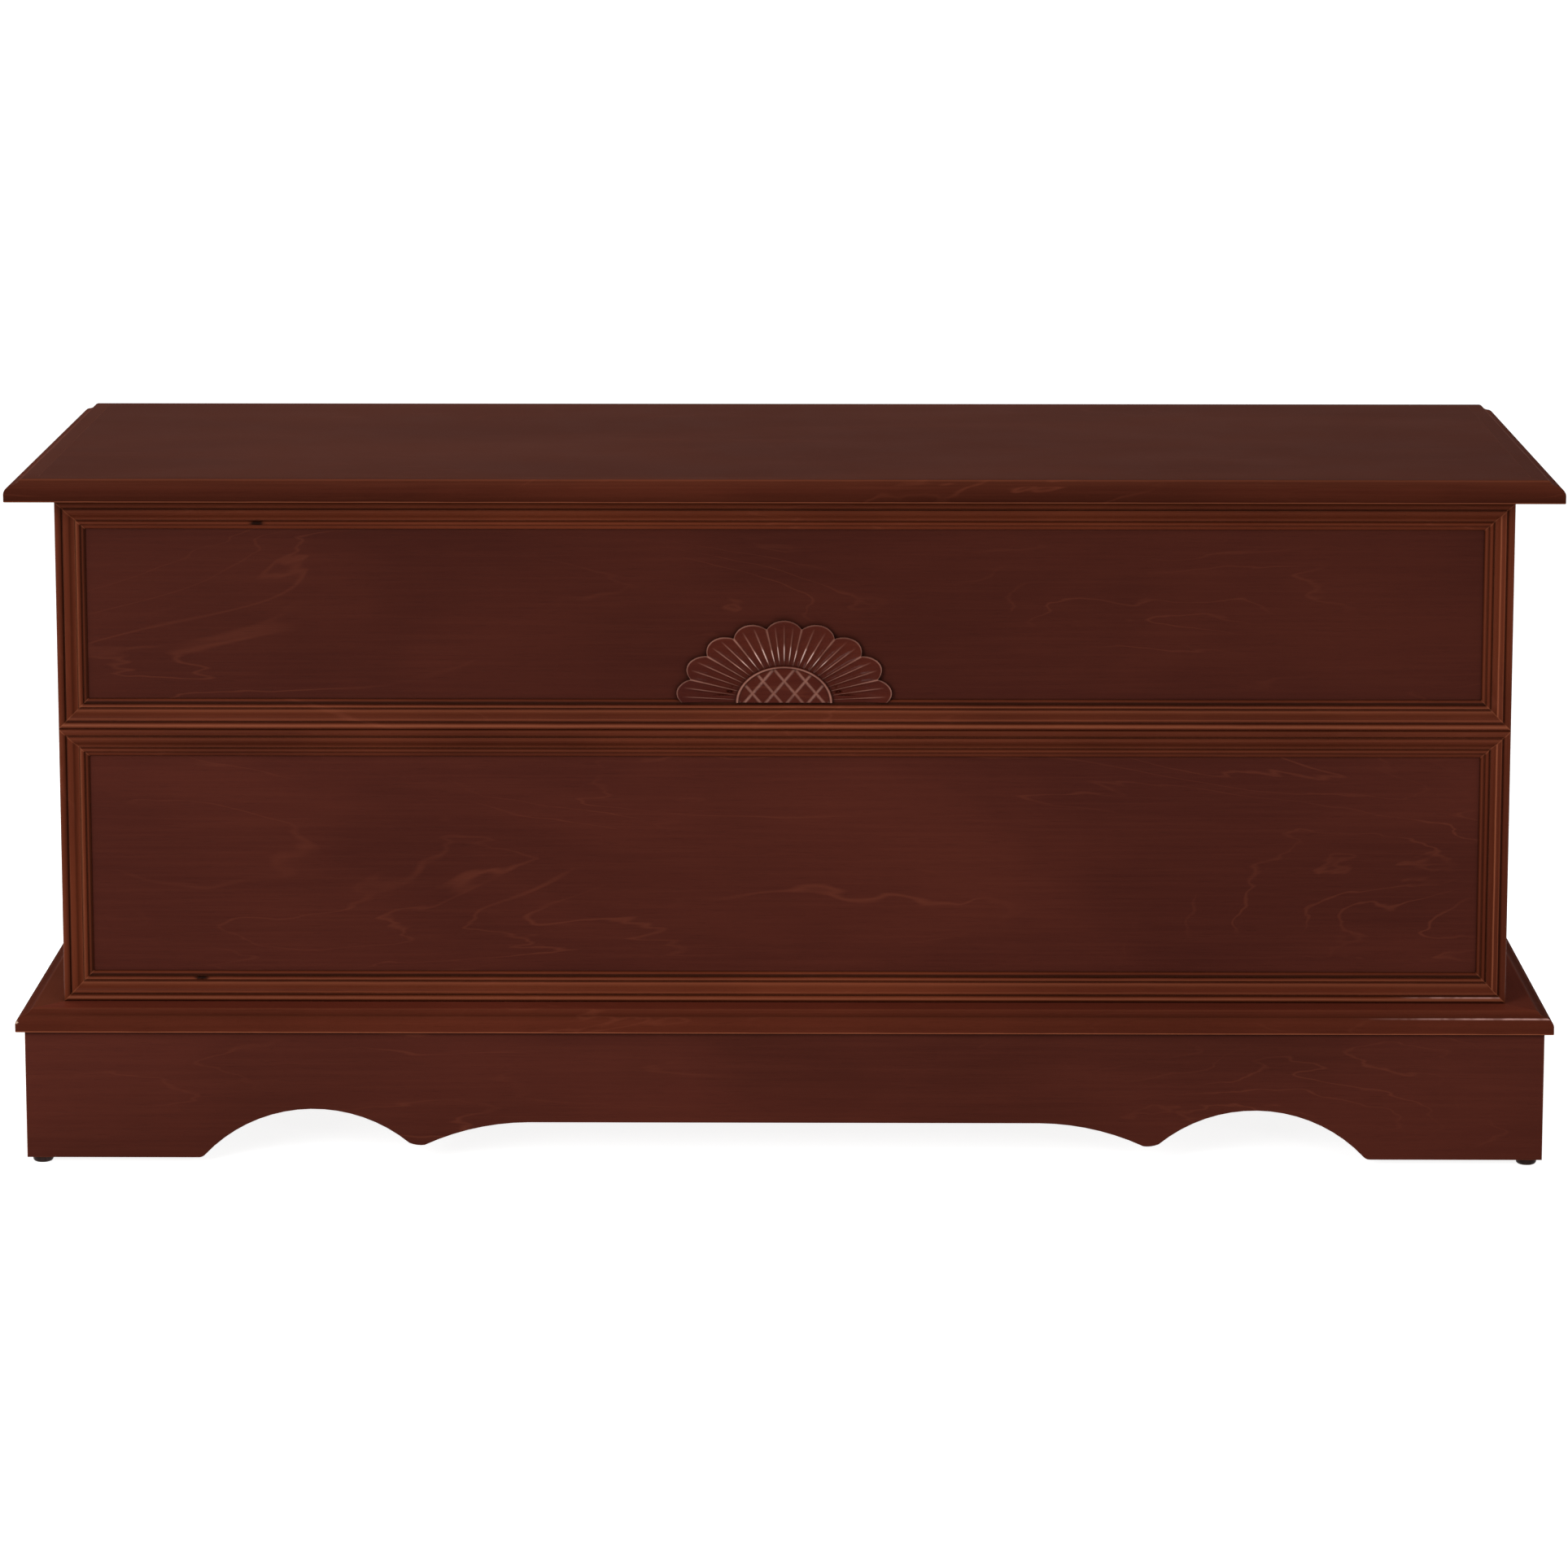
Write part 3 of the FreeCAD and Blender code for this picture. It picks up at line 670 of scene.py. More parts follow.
# --- modelling helpers
def clear_selection() -> None:
    """Leave nothing selected."""
    if bpy.context.mode != "OBJECT":
        bpy.ops.object.mode_set(mode="OBJECT")
    bpy.ops.object.select_all(action="DESELECT")


def take(piece: Object) -> None:
    """Select one object alone and make it active.

    Args:
        piece: the object.
    """
    clear_selection()
    piece.select_set(True)
    bpy.context.view_layer.objects.active = piece


@contextmanager
def editing() -> Iterator[None]:
    """Edit the active object's mesh for the length of a block."""
    bpy.ops.object.mode_set(mode="EDIT")
    yield
    bpy.ops.object.mode_set(mode="OBJECT")


def newest() -> Object:
    """Object that was added last."""
    return bpy.context.view_layer.objects.active


def settle(piece: Object) -> None:
    """Put a piece's place, turn and size into its mesh."""
    take(piece)
    bpy.ops.object.transform_apply(location=True, rotation=True, scale=True)


def face_outwards(piece: Object) -> None:
    """Merge doubled vertices and turn every face outwards.

    Args:
        piece: the object.
    """
    take(piece)
    with editing():
        bpy.ops.mesh.select_all(action="SELECT")
        bpy.ops.mesh.remove_doubles(threshold=WELD)
        bpy.ops.mesh.normals_make_consistent(inside=False)


def join(pieces: list[Object], name: str) -> Object:
    """Join pieces into one.

    Args:
        pieces: the objects.
        name: name of the result.

    Returns:
        The joined object.
    """
    clear_selection()
    for piece in pieces:
        piece.select_set(True)
    bpy.context.view_layer.objects.active = pieces[0]
    if len(pieces) > 1:
        bpy.ops.object.join()
    pieces[0].name = name
    pieces[0].data.name = name
    return pieces[0]


def copied(piece: Object, turn: Point, place: Point) -> Object:
    """Copy of a piece with its own mesh, turned and then moved.

    Args:
        piece: the pattern, standing at the origin.
        turn: rotation about the origin.
        place: where the origin goes.

    Returns:
        The copy.
    """
    take(piece)
    bpy.ops.object.duplicate(linked=False)
    twin = newest()
    twin.rotation_euler = turn
    twin.location = place
    settle(twin)
    return twin


def finish_with(piece: Object, material: Material) -> None:
    """Give a piece one material all over.

    Args:
        piece: the object.
        material: its material.
    """
    if piece.material_slots:
        for slot in piece.material_slots:
            slot.material = material
    else:
        piece.data.materials.append(material)


def button(radius: float, height: float, soft: float, name: str) -> Object:
    """Round button standing on the origin, its far rim rounded over.

    Args:
        radius: its radius.
        height: its height.
        soft: width of the rounding.
        name: its name.

    Returns:
        The button, its flat face at z = 0 and its rounded face above.
    """
    clear_selection()
    bpy.ops.mesh.primitive_cylinder_add(vertices=40, radius=radius, depth=height,
                                        location=(0.0, 0.0, height / 2))
    piece = newest()
    settle(piece)
    mesh = piece.data
    for edge in mesh.edges:
        edge.select = all(mesh.vertices[end].co.z > height / 2 for end in edge.vertices)
    for face in mesh.polygons:
        face.select = face.center.z > 0.99 * height
    with editing():
        bpy.ops.mesh.bevel(offset=soft, segments=5, profile=0.5, affect="EDGES")
    face_outwards(piece)
    bpy.ops.object.shade_smooth_by_angle(angle=math.radians(50))
    piece.name = name
    return piece


def sided(start: str) -> tuple[str, str]:
    """Names of a left and a right piece."""
    return start + "_left", start + "_right"


# --- box, frames, base and lid
@dataclass
class Woodwork:
    """Every wooden board that keeps its solid and gets a finish."""

    front: Cherry = Cherry()
    panel: Cherry = Cherry(deep=tone(64, 26, 19), warm=tone(75, 32, 23))
    ends: Cherry = Cherry(deep=tone(74, 32, 23), warm=tone(88, 39, 29), specular=0.0003,
                          roughness=0.5)
    moulding: Cherry = Cherry(deep=tone(80, 33, 18), warm=tone(98, 44, 25), wear_and_highlight=0.4, corner_shade=0.5)
    middle_moulding: Cherry = Cherry(deep=tone(72, 30, 17), warm=tone(88, 39, 23), wear_and_highlight=0.3,
                                     corner_shade=0.4)
    # Painted sheen: the lid top's tones are greyed and lightened to stand in for its lacquer's
    # reflection, whose specular is all but off.
    lid_top_with_sheen: Cherry = Cherry(deep=tone(65, 33, 25), warm=tone(70, 36, 27), line=tone(86, 46, 36),
                             line_share=0.2, specular=0.0003, wear_and_highlight=0.3)
    lid_edge: Cherry = Cherry(deep=tone(61, 26, 17), warm=tone(71, 31, 20), specular=0.0003, wear_and_highlight=0.25,
                              corner_shade=0.3)
    base_edge: Cherry = Cherry(deep=tone(74, 32, 21), warm=tone(86, 38, 25), wear_and_highlight=0.4, corner_shade=0.4,
                               specular=0.0003)
    # Painted light: a lighter copy of the base moulding's finish for the top faces that the lamps
    # leave dim.
    lit_base_top: Cherry = Cherry(deep=tone(96, 42, 29), warm=tone(108, 48, 33), line=tone(128, 62, 44))
    inside: Bare = Bare()
    skin: float = 0.3 * MM
    top_skin: float = 0.2 * MM
    hollow: tuple[str, ...] = ("front_board", "back_board", *sided("end_board"))
    own: dict[str, Marks] = field(default_factory=lambda: {
        "upper_frame_top_rail": Marks(knots=((-0.409, -0.199, 0.5035),)),
        "lower_frame_bottom_rail": Marks(knots=((-0.458, -0.1995, 0.1428),),
                                         gleam=Gleam(0.47, 0.53, 0.1288, 0.6 * MM, 0.6)),
        "base_moulding_front": Marks(chips=((-0.5985, -0.237, 0.115),),
                                     gleam=Gleam(0.44, 0.57, 0.1192, 0.7 * MM, 0.75))})
    # Painted light and shade across each frame moulding, with its own stops for the bottom rail, the
    # top rail and either stile, as light falls on each differently.
    frame_stops: dict[str, Stops] = field(default_factory=lambda: {
        "bottom_rail": (
            (0.0, 0.4), (1.4, 0.56), (2.8, 0.74), (4.2, 0.64), (5.2, 0.4), (6.4, 0.36),
            (7.0, 0.54), (8.1, 0.66), (9.2, 0.4), (10.4, 0.5), (12.4, 0.6), (14.2, 0.68),
            (15.4, 0.42), (16.0, 0.46), (17.2, 0.72), (18.6, 0.5), (19.2, 0.15), (20.6, 0.16),
            (21.8, 0.58), (22.7, 0.52)),
        "top_rail": (
            (0.0, 0.46), (1.2, 0.6), (3.1, 0.45), (4.4, 0.6), (5.6, 0.48), (6.3, 0.46),
            (8.4, 0.6), (10.6, 0.42), (12.5, 0.42), (14.3, 0.6), (15.6, 0.45), (17.2, 0.58),
            (19.0, 0.5), (22.7, 0.5)),
        "left_stile": (
            (0.0, 0.6), (1.0, 0.62), (2.0, 0.44), (3.6, 0.32), (5.8, 0.26), (6.8, 0.42),
            (8.2, 0.46), (10.0, 0.54), (11.2, 0.3), (12.4, 0.4), (14.2, 0.48), (15.4, 0.78),
            (16.2, 0.9), (17.0, 0.62), (18.0, 0.42), (19.6, 0.24), (20.6, 0.38), (21.9, 0.12),
            (22.7, 0.3)),
        "right_stile": (
            (0.0, 0.56), (1.0, 0.6), (2.2, 0.36), (5.0, 0.38), (6.2, 0.46), (7.2, 0.64),
            (8.4, 0.38), (9.4, 0.44), (10.6, 0.84), (11.6, 0.5), (13.2, 0.5), (15.6, 0.32),
            (18.0, 0.48), (19.4, 0.32), (21.2, 0.62), (22.5, 0.28), (22.7, 0.28))})
    # Painted light and shade up the lid's edge: a painted highlight along its bottom arris, then
    # painted shade that lightens upwards.
    lid_stops: Stops = (
        (0.0, 0.46), (0.15, 0.46), (0.3, 0.74), (0.9, 0.7), (1.4, 0.3), (3.0, 0.35), (6.0, 0.42),
        (9.0, 0.49), (12.0, 0.53), (15.4, 0.57), (16.4, 0.63), (17.2, 0.58))
    # Painted light and shade up the base moulding: a painted highlight along its bottom arris and
    # fainter bands above.
    base_stops: Stops = (
        (0.0, 0.46), (0.15, 0.46), (0.3, 0.9), (0.8, 0.84), (1.3, 0.46), (4.4, 0.44), (9.0, 0.5),
        (12.6, 0.56), (14.4, 0.48), (15.4, 0.44), (16.4, 0.6), (17.2, 0.6))
    # Painted shade: the front board is darker above the foot of the upper frame's bottom rail, over
    # the upper panel.
    panel_stops: Stops = ((0.0, 0.5), (25.0, 0.37), (200.0, 0.35))

    def cavity(self) -> Cavity:
        """Bare inside of the box, from its inner faces.

        Returns:
            The cavity.
        """
        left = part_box("end_board_left")[1][0]
        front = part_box("front_board")[1][1]
        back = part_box("back_board")[0][1]
        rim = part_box("front_board")[1][2]
        return Cavity(-left + self.skin, front - self.skin, back + self.skin, rim - self.skin)

    def mitre(self, frame_name: str) -> Mitre:
        """Joint lines of one frame.

        Args:
            frame_name: start of its nodes' names.

        Returns:
            The joint lines.
        """
        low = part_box(frame_name + "_bottom_rail")[0]
        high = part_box(frame_name + "_top_rail")[1]
        return Mitre(-low[0], (low[2] + high[2]) / 2, (high[2] - low[2]) / 2)

    def runs(self) -> dict[str, tuple[Cherry | Bare, Run]]:
        """Finish and grain of every wooden node.

        Returns:
            A finish and a way of the grain by the node's name.
        """
        groups = (
            (self.front, Run.ALONG_X, ("plinth_front",)),
            (self.panel, Run.ALONG_X, ("front_board", "back_board")),
            (self.ends, Run.ALONG_Y, (*sided("end_board"), *sided("plinth"))),
            (self.moulding, Run.ALONG_X, ("lower_frame_bottom_rail", "upper_frame_top_rail")),
            (self.middle_moulding, Run.ALONG_X, ("lower_frame_top_rail", "upper_frame_bottom_rail")),
            (self.moulding, Run.ALONG_Z, ("lower_frame_left_stile", "lower_frame_right_stile",
                                          "upper_frame_left_stile", "upper_frame_right_stile")),
            (self.lid_top_with_sheen, Run.ALONG_X, ("lid_panel",)),
            (self.lid_edge, Run.ALONG_X, ("lid_edge_front",)),
            (self.lid_edge, Run.ALONG_Y, sided("lid_edge")),
            (self.base_edge, Run.ALONG_X, ("base_moulding_front",)),
            (self.base_edge, Run.ALONG_Y, sided("base_moulding")),
            (self.inside, Run.ALONG_X, ("base_board_back", "plinth_back", "bottom_board")),
            (self.inside, Run.ALONG_Y, ("bottom_bearer",)),
            (self.inside, Run.ALONG_Z, (*sided("corner_block_front"), *sided("corner_block_back"))))
        return {name: (finish, run) for finish, run, names in groups for name in names}

    def marks(self, name: str) -> Marks:
        """What a stained board has of its own.

        Args:
            name: the board's node.

        Returns:
            Its marks.
        """
        low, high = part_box(name)
        top = high[2] - self.top_skin
        own = self.own.get(name, Marks())
        if name in self.hollow:
            own = replace(own, cavity=self.cavity())
        level, _, part = name.partition("_frame_")
        if part:
            mitre = self.mitre(level + "_frame")
            return replace(own, mitre=mitre, shade_stripes=ShadeStripes(self.frame_stops[part], mitre=mitre))
        if name.startswith("lid_edge"):
            return replace(own, shade_stripes=ShadeStripes(self.lid_stops, low[2]), top=(top, self.lid_top_with_sheen))
        if name.startswith("base_moulding"):
            # Painted light: the top faces take the lighter copy on the front and right boards, not on
            # the left one.
            pale = None if name.endswith("left") else (top, self.lit_base_top)
            return replace(own, shade_stripes=ShadeStripes(self.base_stops, low[2]), top=pale)
        # Painted shade over the upper panel, darker upwards.
        if name == "front_board":
            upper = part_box("upper_frame_bottom_rail")[0][2]
            return replace(own, shade_stripes=ShadeStripes(self.panel_stops, upper))
        return own

    def dress(self, nodes: dict[str, Object]) -> None:
        """Give every wooden node its finish.

        Args:
            nodes: the solids by name.
        """
        for seed, (name, (finish, run)) in enumerate(sorted(self.runs().items())):
            if isinstance(finish, Bare):
                material = finish.build("wood_" + name, run, seed)
            else:
                material = finish.build("wood_" + name, run, seed, self.marks(name))
            finish_with(nodes[name], material)
            LOG.info("finished %s", name)


# --- carved fan
@dataclass
class CarvedFan:
    """Half sunflower carved in relief: dished petals, ridges, and a latticed seed head."""

    width: float = 84.5 * MM
    rise: float = 64.5 * MM
    petals: int = 9
    pitch: float = math.radians(20.6)
    valley: float = 0.905
    seed_radius: float = 37.8 * MM
    seed_rim: float = 2.3 * MM
    rim_height: float = 7.0 * MM
    field_height: float = 5.8 * MM
    leaf_height: float = 5.2 * MM
    leaf_gap: float = 0.3 * MM
    leaf_rounding: float = 0.5 * MM
    neck_height: float = 3.3 * MM
    lip_height: float = 3.1 * MM
    lip_rise: float = 1.8 * MM
    lip_back: float = 0.1 * MM
    lattice_pitch: float = 16.5 * MM
    lattice_slope: float = math.radians(49.6)
    lattice_level: float = 17.0 * MM
    lattice_depth: float = 0.75 * MM
    groove: float = 1.3 * MM
    flute_depth: float = 1.5 * MM
    border_width: float = 0.075
    border_height: float = 0.35 * MM
    rim_width: float = 0.026
    # Place and spread, from the seed head outwards, of the painted glints on the upper petals.
    glint_place: float = 0.27
    glint_spread: float = 0.15
    columns: int = 42
    seed_rows: int = 60
    leaf_rows: int = 76
    stain: Cherry = Cherry(deep=tone(58, 19, 14), warm=tone(78, 29, 17), rubbed_and_highlight=tone(222, 160, 140),
                           wear_and_highlight=0.9, specular=0.04, roughness=0.22)
    seed: int = 71

    def edge_radius(self, across: float) -> float:
        """Outer radius, before the fan is squashed, at a place over a petal from -1 to 1."""
        bulge = max(0.0, 1.0 - across * across)
        return self.width * (self.valley + (1.0 - self.valley) * bulge ** 0.95)

    def petal_place(self, turn: float) -> tuple[int, float]:
        """Which petal an angle is on.

        Args:
            turn: angle from the right-hand end.

        Returns:
            The petal's number and the place over it, -1 to 1.
        """
        first = math.pi / 2 - self.petals * self.pitch / 2
        steps = (turn - first) / self.pitch
        petal = min(self.petals - 1, max(0, int(steps)))
        return petal, 2.0 * (steps - petal) - 1.0

    def seed_surface(self, across: float, up: float, radius: float) -> tuple[float, float]:
        """Height, and wear with painted highlights, of the seed head.

        Args:
            across: place from the middle.
            up: place over the base line.
            radius: radius before the fan is squashed.

        Returns:
            The height and the wear.
        """
        from_rim = self.seed_radius - radius
        if from_rim < self.seed_rim:
            round_place = 2.0 * from_rim / self.seed_rim - 1.0
            crown = math.sqrt(max(0.0, 1.0 - round_place * round_place))
            swell = (self.rim_height - self.field_height) * crown
            return self.field_height + swell - self.leaf_gap, 0.45 * crown ** 2
        share = radius / (self.seed_radius - self.seed_rim)
        dome = self.field_height * (1.0 - 0.10 * share ** 4)
        cut = 0.0
        for lean in (-1, 1):
            run = across * math.sin(self.lattice_slope) * lean
            climb = (up - self.lattice_level) * math.cos(self.lattice_slope)
            gap = self.lattice_pitch * math.sin(self.lattice_slope)
            off = (climb - run) / gap
            cut = max(cut, 1.0 - abs(off - round(off)) * gap / self.groove)
        return dome - self.lattice_depth * cut, 0.36 * min(1.0, 1.4 * cut)

    def leaf_surface(self, turn: float, along: float) -> tuple[float, float]:
        """Height, and wear with painted highlights and glints, of the petals.

        Args:
            turn: angle from the right-hand end.
            along: place from the seed head, 0, to the edge, 1.

        Returns:
            The height and the wear with painted highlights.
        """
        petal, across = self.petal_place(turn)
        cuts = 4 if petal == self.petals // 2 else 3
        lane = (across + 1.0) / 2.0 * cuts
        from_ridge = abs(lane - round(lane))
        dish = self.neck_height + (self.leaf_height - self.neck_height) * along ** 0.75
        fade = min(1.0, max(0.0, (0.92 - along) / 0.30)) * min(1.0, 0.35 + along / 0.2)
        hollow = (1.0 - (2.0 * min(from_ridge, 0.5) - 1.0) ** 2) ** 0.8 * fade
        border = max(0.0, 1.0 - abs(abs(across) - 1.0) / self.border_width)
        rim = max(0.0, 1.0 - (1.0 - along) / self.rim_width)
        height = dish - self.flute_depth * hollow + self.border_height * border
        # Painted glints: the ridges and borders of the upper petals near the seed head, which face up
        # into the light, are made brighter.
        off_glint = (along - self.glint_place) / self.glint_spread
        glint_share = math.sin(turn) ** 4 * math.exp(-off_glint ** 2)
        ridge = max(0.0, 1.0 - from_ridge / (0.09 + 0.07 * glint_share)) * fade
        wear_and_highlight = (min(1.0, 0.42 + 1.6 * glint_share) * ridge, (0.48 + 0.4 * glint_share) * border, 0.5 * rim)
        return height, max(wear_and_highlight)

    def place(self, turn: float, row: int) -> tuple[float, float, float, float]:
        """One vertex of the front.

        Args:
            turn: angle from the right-hand end.
            row: row from the middle outwards.

        Returns:
            Place across, place up, height, and wear with painted highlights.
        """
        on_seed = row <= self.seed_rows
        along = (row - self.seed_rows - 1) / (self.leaf_rows - 1)
        if on_seed:
            radius = self.seed_radius * row / self.seed_rows
        else:
            outer = self.edge_radius(self.petal_place(turn)[1])
            start = self.seed_radius + self.leaf_gap
            radius = start + (outer - start) * along
        across, up = radius * math.cos(turn), radius * (self.rise / self.width) * math.sin(turn)
        if on_seed:
            height, wear_and_highlight = self.seed_surface(across, up, radius)
        else:
            height, wear_and_highlight = self.leaf_surface(turn, along)
        if row == self.seed_rows + self.leaf_rows:
            height -= self.leaf_rounding
        if up < 3.0 * self.lip_rise:
            height = max(height, self.lip_height)
        return across, up, height, wear_and_highlight

    def build(self) -> Object:
        """Model the carving on a grid bent into a fan, and close its sides and back.

        Returns:
            The carved fan.
        """
        low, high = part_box("carved_fan")
        z_base, y_panel = low[2], high[1]
        turns = self.petals * self.columns
        rows = self.seed_rows + self.leaf_rows
        clear_selection()
        bpy.ops.mesh.primitive_grid_add(x_subdivisions=turns, y_subdivisions=rows, size=2.0)
        piece = newest()
        mesh = piece.data
        # Wear per vertex: partly rubbing, partly painted highlights on ridges, borders, rim and
        # lattice, and painted glints.
        wear_and_highlight = mesh.attributes.new("wear_and_highlight", "FLOAT", "POINT")
        for vertex in mesh.vertices:
            column = round((vertex.co.x + 1.0) / 2.0 * turns)
            row = round((vertex.co.y + 1.0) / 2.0 * rows)
            across, up, height, worn_and_lit = self.place(math.pi * column / turns, row)
            vertex.co = (across, y_panel - height, z_base + up)
            wear_and_highlight.data[vertex.index].value = worn_and_lit
        with editing():
            bpy.ops.mesh.select_all(action="SELECT")
            bpy.ops.mesh.remove_doubles(threshold=WELD)
            bpy.ops.mesh.select_all(action="DESELECT")
            bpy.ops.mesh.select_mode(type="EDGE")
            bpy.ops.mesh.select_non_manifold()
            bpy.ops.mesh.extrude_edges_move()
        for vertex in mesh.vertices:
            if vertex.select:
                sunk = vertex.co.z < z_base + self.lip_rise
                vertex.co.y = y_panel - (self.lip_height - self.lip_back if sunk else 0.0)
                mesh.attributes["wear_and_highlight"].data[vertex.index].value = 0.0
        with editing():
            bpy.ops.mesh.edge_face_add()
            bpy.ops.mesh.quads_convert_to_tris()
        face_outwards(piece)
        bpy.ops.object.shade_smooth_by_angle(angle=math.radians(42))
        return join([piece], "fan_carving")

    def dress(self, piece: Object) -> None:
        """Finish the fan and seat it in place of its solid.

        Args:
            piece: the carved fan.
        """
        material = self.stain.build("wood_fan_carving", Run.ALONG_X, self.seed, Marks(carved=True))
        finish_with(piece, material)
        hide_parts("carved_fan")
        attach(piece, "chest")
        LOG.info("carved %s", piece.name)


# --- small hardware
@dataclass
class Buttons:
    """Rounded glides under the plinth and rubber bumpers on the rim."""

    metal: Metal = Metal(bright=tone(56, 43, 41), dull=tone(36, 26, 25), roughness=0.45)
    rubber: Rubber = Rubber()
    glide_radius: float = 8.0 * MM
    glide_soft: float = 2.6 * MM
    bumper_soft: float = 1.4 * MM

    def build_set(self, node: str, centres: list[tuple[float, float]], radius: float, soft: float,
                  upwards: bool, name: str) -> Object:
        """Model one button and copy it to every place.

        Args:
            node: the solid that the buttons stand for.
            centres: their places in plan.
            radius: their radius.
            soft: width of the rounding.
            upwards: the top is rounded, or else the bottom.
            name: name of the set.

        Returns:
            The buttons as one object.
        """
        low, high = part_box(node)
        pattern = button(radius, high[2] - low[2], soft, name + "_pattern")
        turn, foot = (ORIGIN, low[2]) if upwards else ((math.pi, 0.0, 0.0), high[2])
        made = [copied(pattern, turn, (x, y, foot)) for x, y in centres]
        bpy.data.objects.remove(pattern)
        piece = join(made, name)
        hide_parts(node)
        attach(piece, "chest")
        LOG.info("made %s", name)
        return piece

    def dress(self) -> None:
        """Make and finish both sets."""
        radius = self.glide_radius
        low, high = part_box("glides")
        places = [(x, y) for x in (low[0] + radius, high[0] - radius)
                  for y in (low[1] + radius, high[1] - radius)]
        glides = self.build_set("glides", places, radius, self.glide_soft, False, "glide_buttons")
        finish_with(glides, self.metal.build("glide_metal"))
        low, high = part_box("lid_bumpers")
        radius, middle = (high[1] - low[1]) / 2, (low[1] + high[1]) / 2
        places = [(low[0] + radius, middle), (high[0] - radius, middle)]
        bumpers = self.build_set("lid_bumpers", places, radius, self.bumper_soft, True,
                                 "bumper_buttons")
        finish_with(bumpers, self.rubber.build("bumper_rubber"))


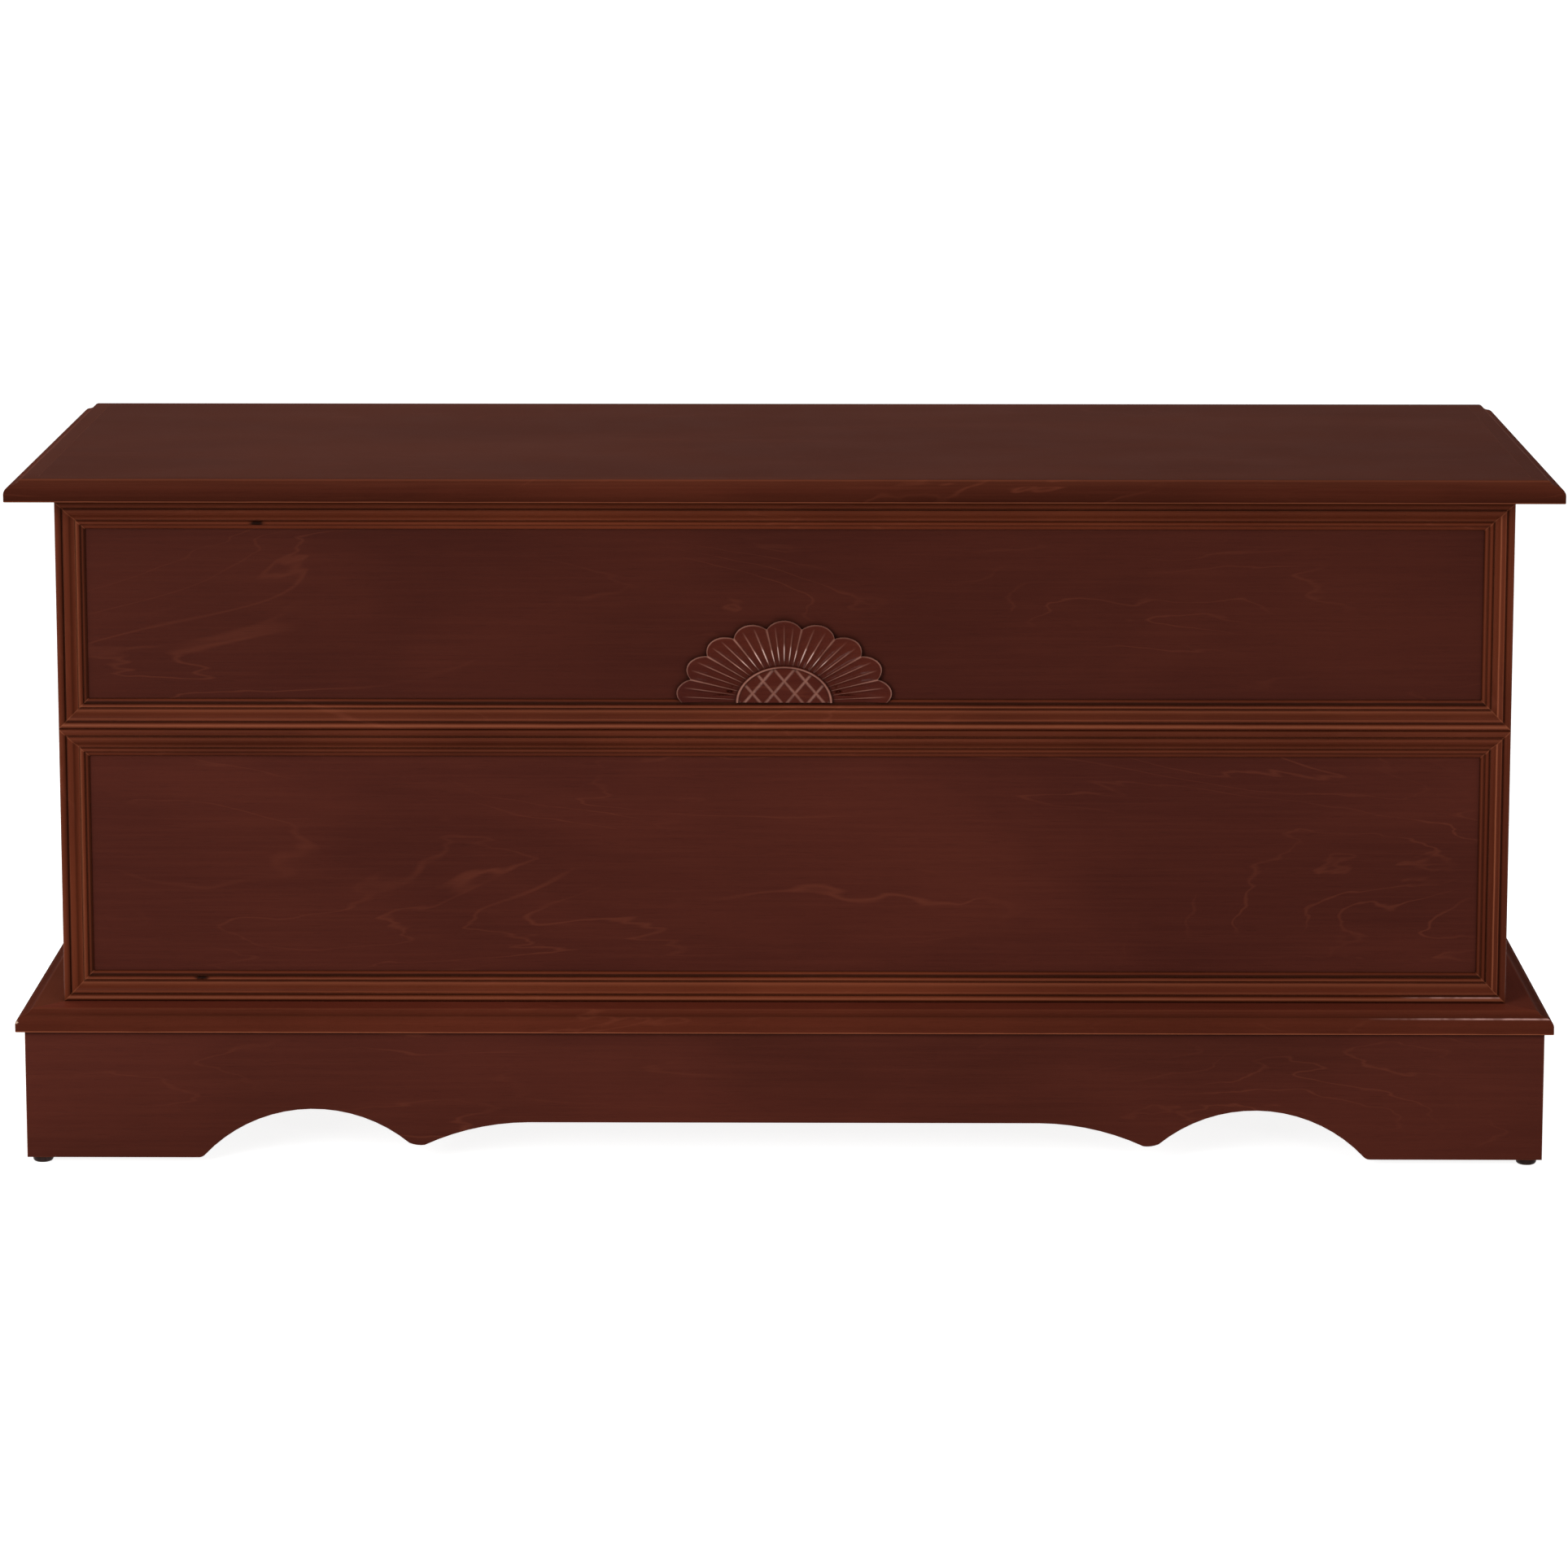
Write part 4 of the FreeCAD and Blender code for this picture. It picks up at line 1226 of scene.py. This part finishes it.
@dataclass
class Screws:
    """Cross-slot screws of the hinges and stays, and the metal of their plates."""

    brass: Metal = Metal()
    recess: Metal = Metal(bright=tone(112, 88, 52), dull=tone(84, 64, 38), roughness=0.5)
    radius: float = 2.7 * MM
    proud: float = 0.12 * MM
    chamfer: float = 0.35 * MM
    cross_reach: float = 1.5 * MM
    cross_width: float = 0.3 * MM
    recess_radius: float = 1.6 * MM
    leaf_pitch: float = 24.0 * MM
    leaf_inset: float = 7.5 * MM
    leaf_thickness: float = 1.8 * MM
    stay_pitch: float = 13.5 * MM
    stay_inset: float = 10.0 * MM
    stay_thickness: float = 2.0 * MM

    def cross(self, head: Object) -> None:
        """Cut a cross into a screw head.

        Args:
            head: the head.
        """
        long, short = self.cross_reach, self.cross_width
        for across, up in ((long, short), (short, long)):
            bpy.ops.mesh.primitive_cube_add(size=2.0, location=(0.0, 0.0, 2 * self.proud))
            cutter = newest()
            cutter.scale = (across, up, 1.6 * self.proud)
            settle(cutter)
            cut = head.modifiers.new("cross", "BOOLEAN")
            cut.operation = "DIFFERENCE"
            cut.solver = "EXACT"
            cut.object = cutter
            take(head)
            bpy.ops.object.modifier_apply(modifier=cut.name)
            bpy.data.objects.remove(cutter)

    def pattern(self) -> Object:
        """Model one screw head: a disc with a chamfered rim and a cross cut into it.

        Returns:
            The head, its seat at z = 0 and its face towards +Z.
        """
        clear_selection()
        bpy.ops.mesh.primitive_cylinder_add(vertices=32, radius=self.radius, depth=4 * self.proud,
                                            location=(0.0, 0.0, -self.proud))
        head = newest()
        settle(head)
        for face in head.data.polygons:
            face.select = face.center.z > 0.5 * self.proud
        with editing():
            bpy.ops.mesh.inset(thickness=self.chamfer, depth=0.0)
        for vertex in head.data.vertices:
            if vertex.co.z > 0 and vertex.co.xy.length > self.radius - 0.1 * MM:
                vertex.co.z = 0.3 * self.proud
        self.cross(head)
        head.data.materials.clear()
        head.data.materials.append(self.brass.build("screw_brass"))
        head.data.materials.append(self.recess.build("screw_recess"))
        for face in head.data.polygons:
            inner = face.center.xy.length < self.recess_radius
            low_face = -0.5 * self.proud < face.center.z < 0.9 * self.proud
            face.material_index = int(inner and low_face)
        face_outwards(head)
        return head

    def leaf_places(self, node: str, turn: Point, seat: float) -> Places:
        """Turn and place of the screws of one hinge leaf.

        Args:
            node: the leaf.
            turn: the screws' turn.
            seat: height of the face that they are driven into.

        Returns:
            Turns and places.
        """
        low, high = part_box(node)
        middle = (low[0] + high[0]) / 2
        return [(turn, (middle + step * self.leaf_pitch, low[1] + self.leaf_inset, seat))
                for step in (-1, 0, 1)]

    def stay_places(self, node: str, way: float) -> Places:
        """Turn and place of the screws of one stay's bracket.

        Args:
            node: the bracket, on the wall or under the lid.
            way: 1 on the left, -1 on the right.

        Returns:
            Turns and places.
        """
        low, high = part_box(node)
        y, z = (low[1] + high[1]) / 2, (low[2] + high[2]) / 2
        face = high[0] if way > 0 else low[0]
        if node.startswith("stay_wall"):
            turn = (0.0, way * math.pi / 2, 0.0)
            return [(turn, (face, y, z + step * self.stay_pitch)) for step in (-1, 1)]
        x, seat = face - way * self.stay_inset, high[2] - self.stay_thickness
        return [((math.pi, 0.0, 0.3), (x, y + step * self.stay_pitch, seat)) for step in (-1, 1)]

    def drive(self, pattern: Object, places: Places, body: str,
              name: str) -> None:
        """Copy the screw to its places and fix the set to a body.

        Args:
            pattern: the screw.
            places: turns and places.
            body: what the set rides on.
            name: name of the set.
        """
        piece = join([copied(pattern, turn, place) for turn, place in places], name)
        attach(piece, body)
        LOG.info("drove %s", name)

    def dress(self, nodes: dict[str, Object]) -> None:
        """Finish the plates and drive every screw.

        Args:
            nodes: the solids by name.
        """
        for name, node in nodes.items():
            if name.startswith(("hinge_", "stay_")):
                finish_with(node, self.brass.build("metal_" + name))
        pattern = self.pattern()
        leaves = (("chest", (0.0, 0.0, 0.4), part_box("back_board")[1][2] + self.leaf_thickness),
                  ("lid", (math.pi, 0.0, 0.7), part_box("lid_panel")[0][2] - self.leaf_thickness))
        for place in ("left", "middle", "right"):
            for body, turn, seat in leaves:
                places = self.leaf_places(f"hinge_{body}_leaf_{place}", turn, seat)
                self.drive(pattern, places, body, f"screws_hinge_{body}_{place}")
        for side, way in (("left", 1.0), ("right", -1.0)):
            for part, body in (("wall", "chest"), ("lid", "lid")):
                places = self.stay_places(f"stay_{part}_bracket_{side}", way)
                self.drive(pattern, places, body, f"screws_stay_{part}_{side}")
        bpy.data.objects.remove(pattern)


# --- floor, light and camera
@dataclass
class Studio:
    """White floor and surround, soft lamps, and the camera."""

    eye: Point = (0.0333, -4.4837, 1.146)
    pitch: float = 9.265
    swing: float = 0.447
    lens: float = 128.3
    sensor: float = 36.0
    shift: float = -0.12
    air: float = 0.4
    paint: float = 0.62
    glow: float = 0.88
    floor_size: float = 60.0
    aim: Point = (0.0, 0.0, 0.3)
    lamps: tuple[tuple[str, Point, float, float], ...] = (
        ("key_lamp", (-1.5, -2.7, 1.3), 1.1, 46.0), ("fill_lamp", (2.4, -2.6, 1.3), 2.0, 20.0),
        ("top_lamp", (-0.6, 0.5, 2.8), 1.6, 42.0), ("glint_lamp", (1.2, -3.0, 1.0), 0.3, 7.0))

    def world(self) -> None:
        """Even grey light that looks white where it is seen."""
        world = bpy.data.worlds.new("studio_air")
        bpy.context.scene.world = world
        graph = Graph(world)
        shade = graph.blend(graph.seen(), (self.air, self.air, self.air, 1.0), WHITE)
        back = graph.node("Background", {}, {"Color": shade, "Strength": 1.0})
        graph.node("OutputWorld", {}, {"Surface": back.outputs[0]})

    def floor(self) -> None:
        """Wide pale floor that keeps a soft shadow."""
        clear_selection()
        bpy.ops.mesh.primitive_plane_add(size=self.floor_size, location=ORIGIN)
        sheet = newest()
        sheet.name = "studio_floor"
        graph = Finish("floor_paint")
        paint = graph.node("BsdfDiffuse", {}, {"Color": (self.paint, self.paint, self.paint, 1.0)})
        glow = graph.node("Emission", {}, {
            "Color": WHITE, "Strength": graph.math("MULTIPLY", graph.seen(), self.glow)})
        finish_with(sheet, graph.finished(graph.node("AddShader", {}, {
            0: paint.outputs[0], 1: glow.outputs[0]})))

    def lamp(self, name: str, place: Point, size: float, power: float) -> None:
        """Square soft lamp aimed at the chest.

        Args:
            name: its name.
            place: where it stands.
            size: its side.
            power: its power in watts.
        """
        light = bpy.data.lights.new(name, "AREA")
        light.shape = "SQUARE"
        light.size = size
        light.energy = power
        holder = bpy.data.objects.new(name, light)
        bpy.context.scene.collection.objects.link(holder)
        holder.location = place
        aim = Vector(self.aim) - Vector(place)
        holder.rotation_euler = aim.to_track_quat("-Z", "Y").to_euler()

    def camera(self) -> None:
        """Camera a little above the lid, looking slightly down."""
        data = bpy.data.cameras.new("camera")
        data.lens = self.lens
        data.sensor_width = self.sensor
        data.shift_y = self.shift
        holder = bpy.data.objects.new("camera", data)
        bpy.context.scene.collection.objects.link(holder)
        holder.location = self.eye
        holder.rotation_euler = (math.radians(90.0 - self.pitch), 0.0, math.radians(self.swing))
        bpy.context.scene.camera = holder

    def build(self) -> None:
        """Set up everything round the chest."""
        self.world()
        self.floor()
        for name, place, size, power in self.lamps:
            self.lamp(name, place, size, power)
        self.camera()
        bpy.context.scene.view_settings.view_transform = "Standard"
        LOG.info("studio ready")


def main() -> None:
    """Build every sub-assembly in order."""
    logging.basicConfig(level=logging.INFO, format="%(message)s")
    clear_selection()
    Studio().build()
    Woodwork().dress(frame["nodes"])
    fan = CarvedFan()
    fan.dress(fan.build())
    Buttons().dress()
    Screws().dress(frame["nodes"])


if __name__ == "__main__":
    main()
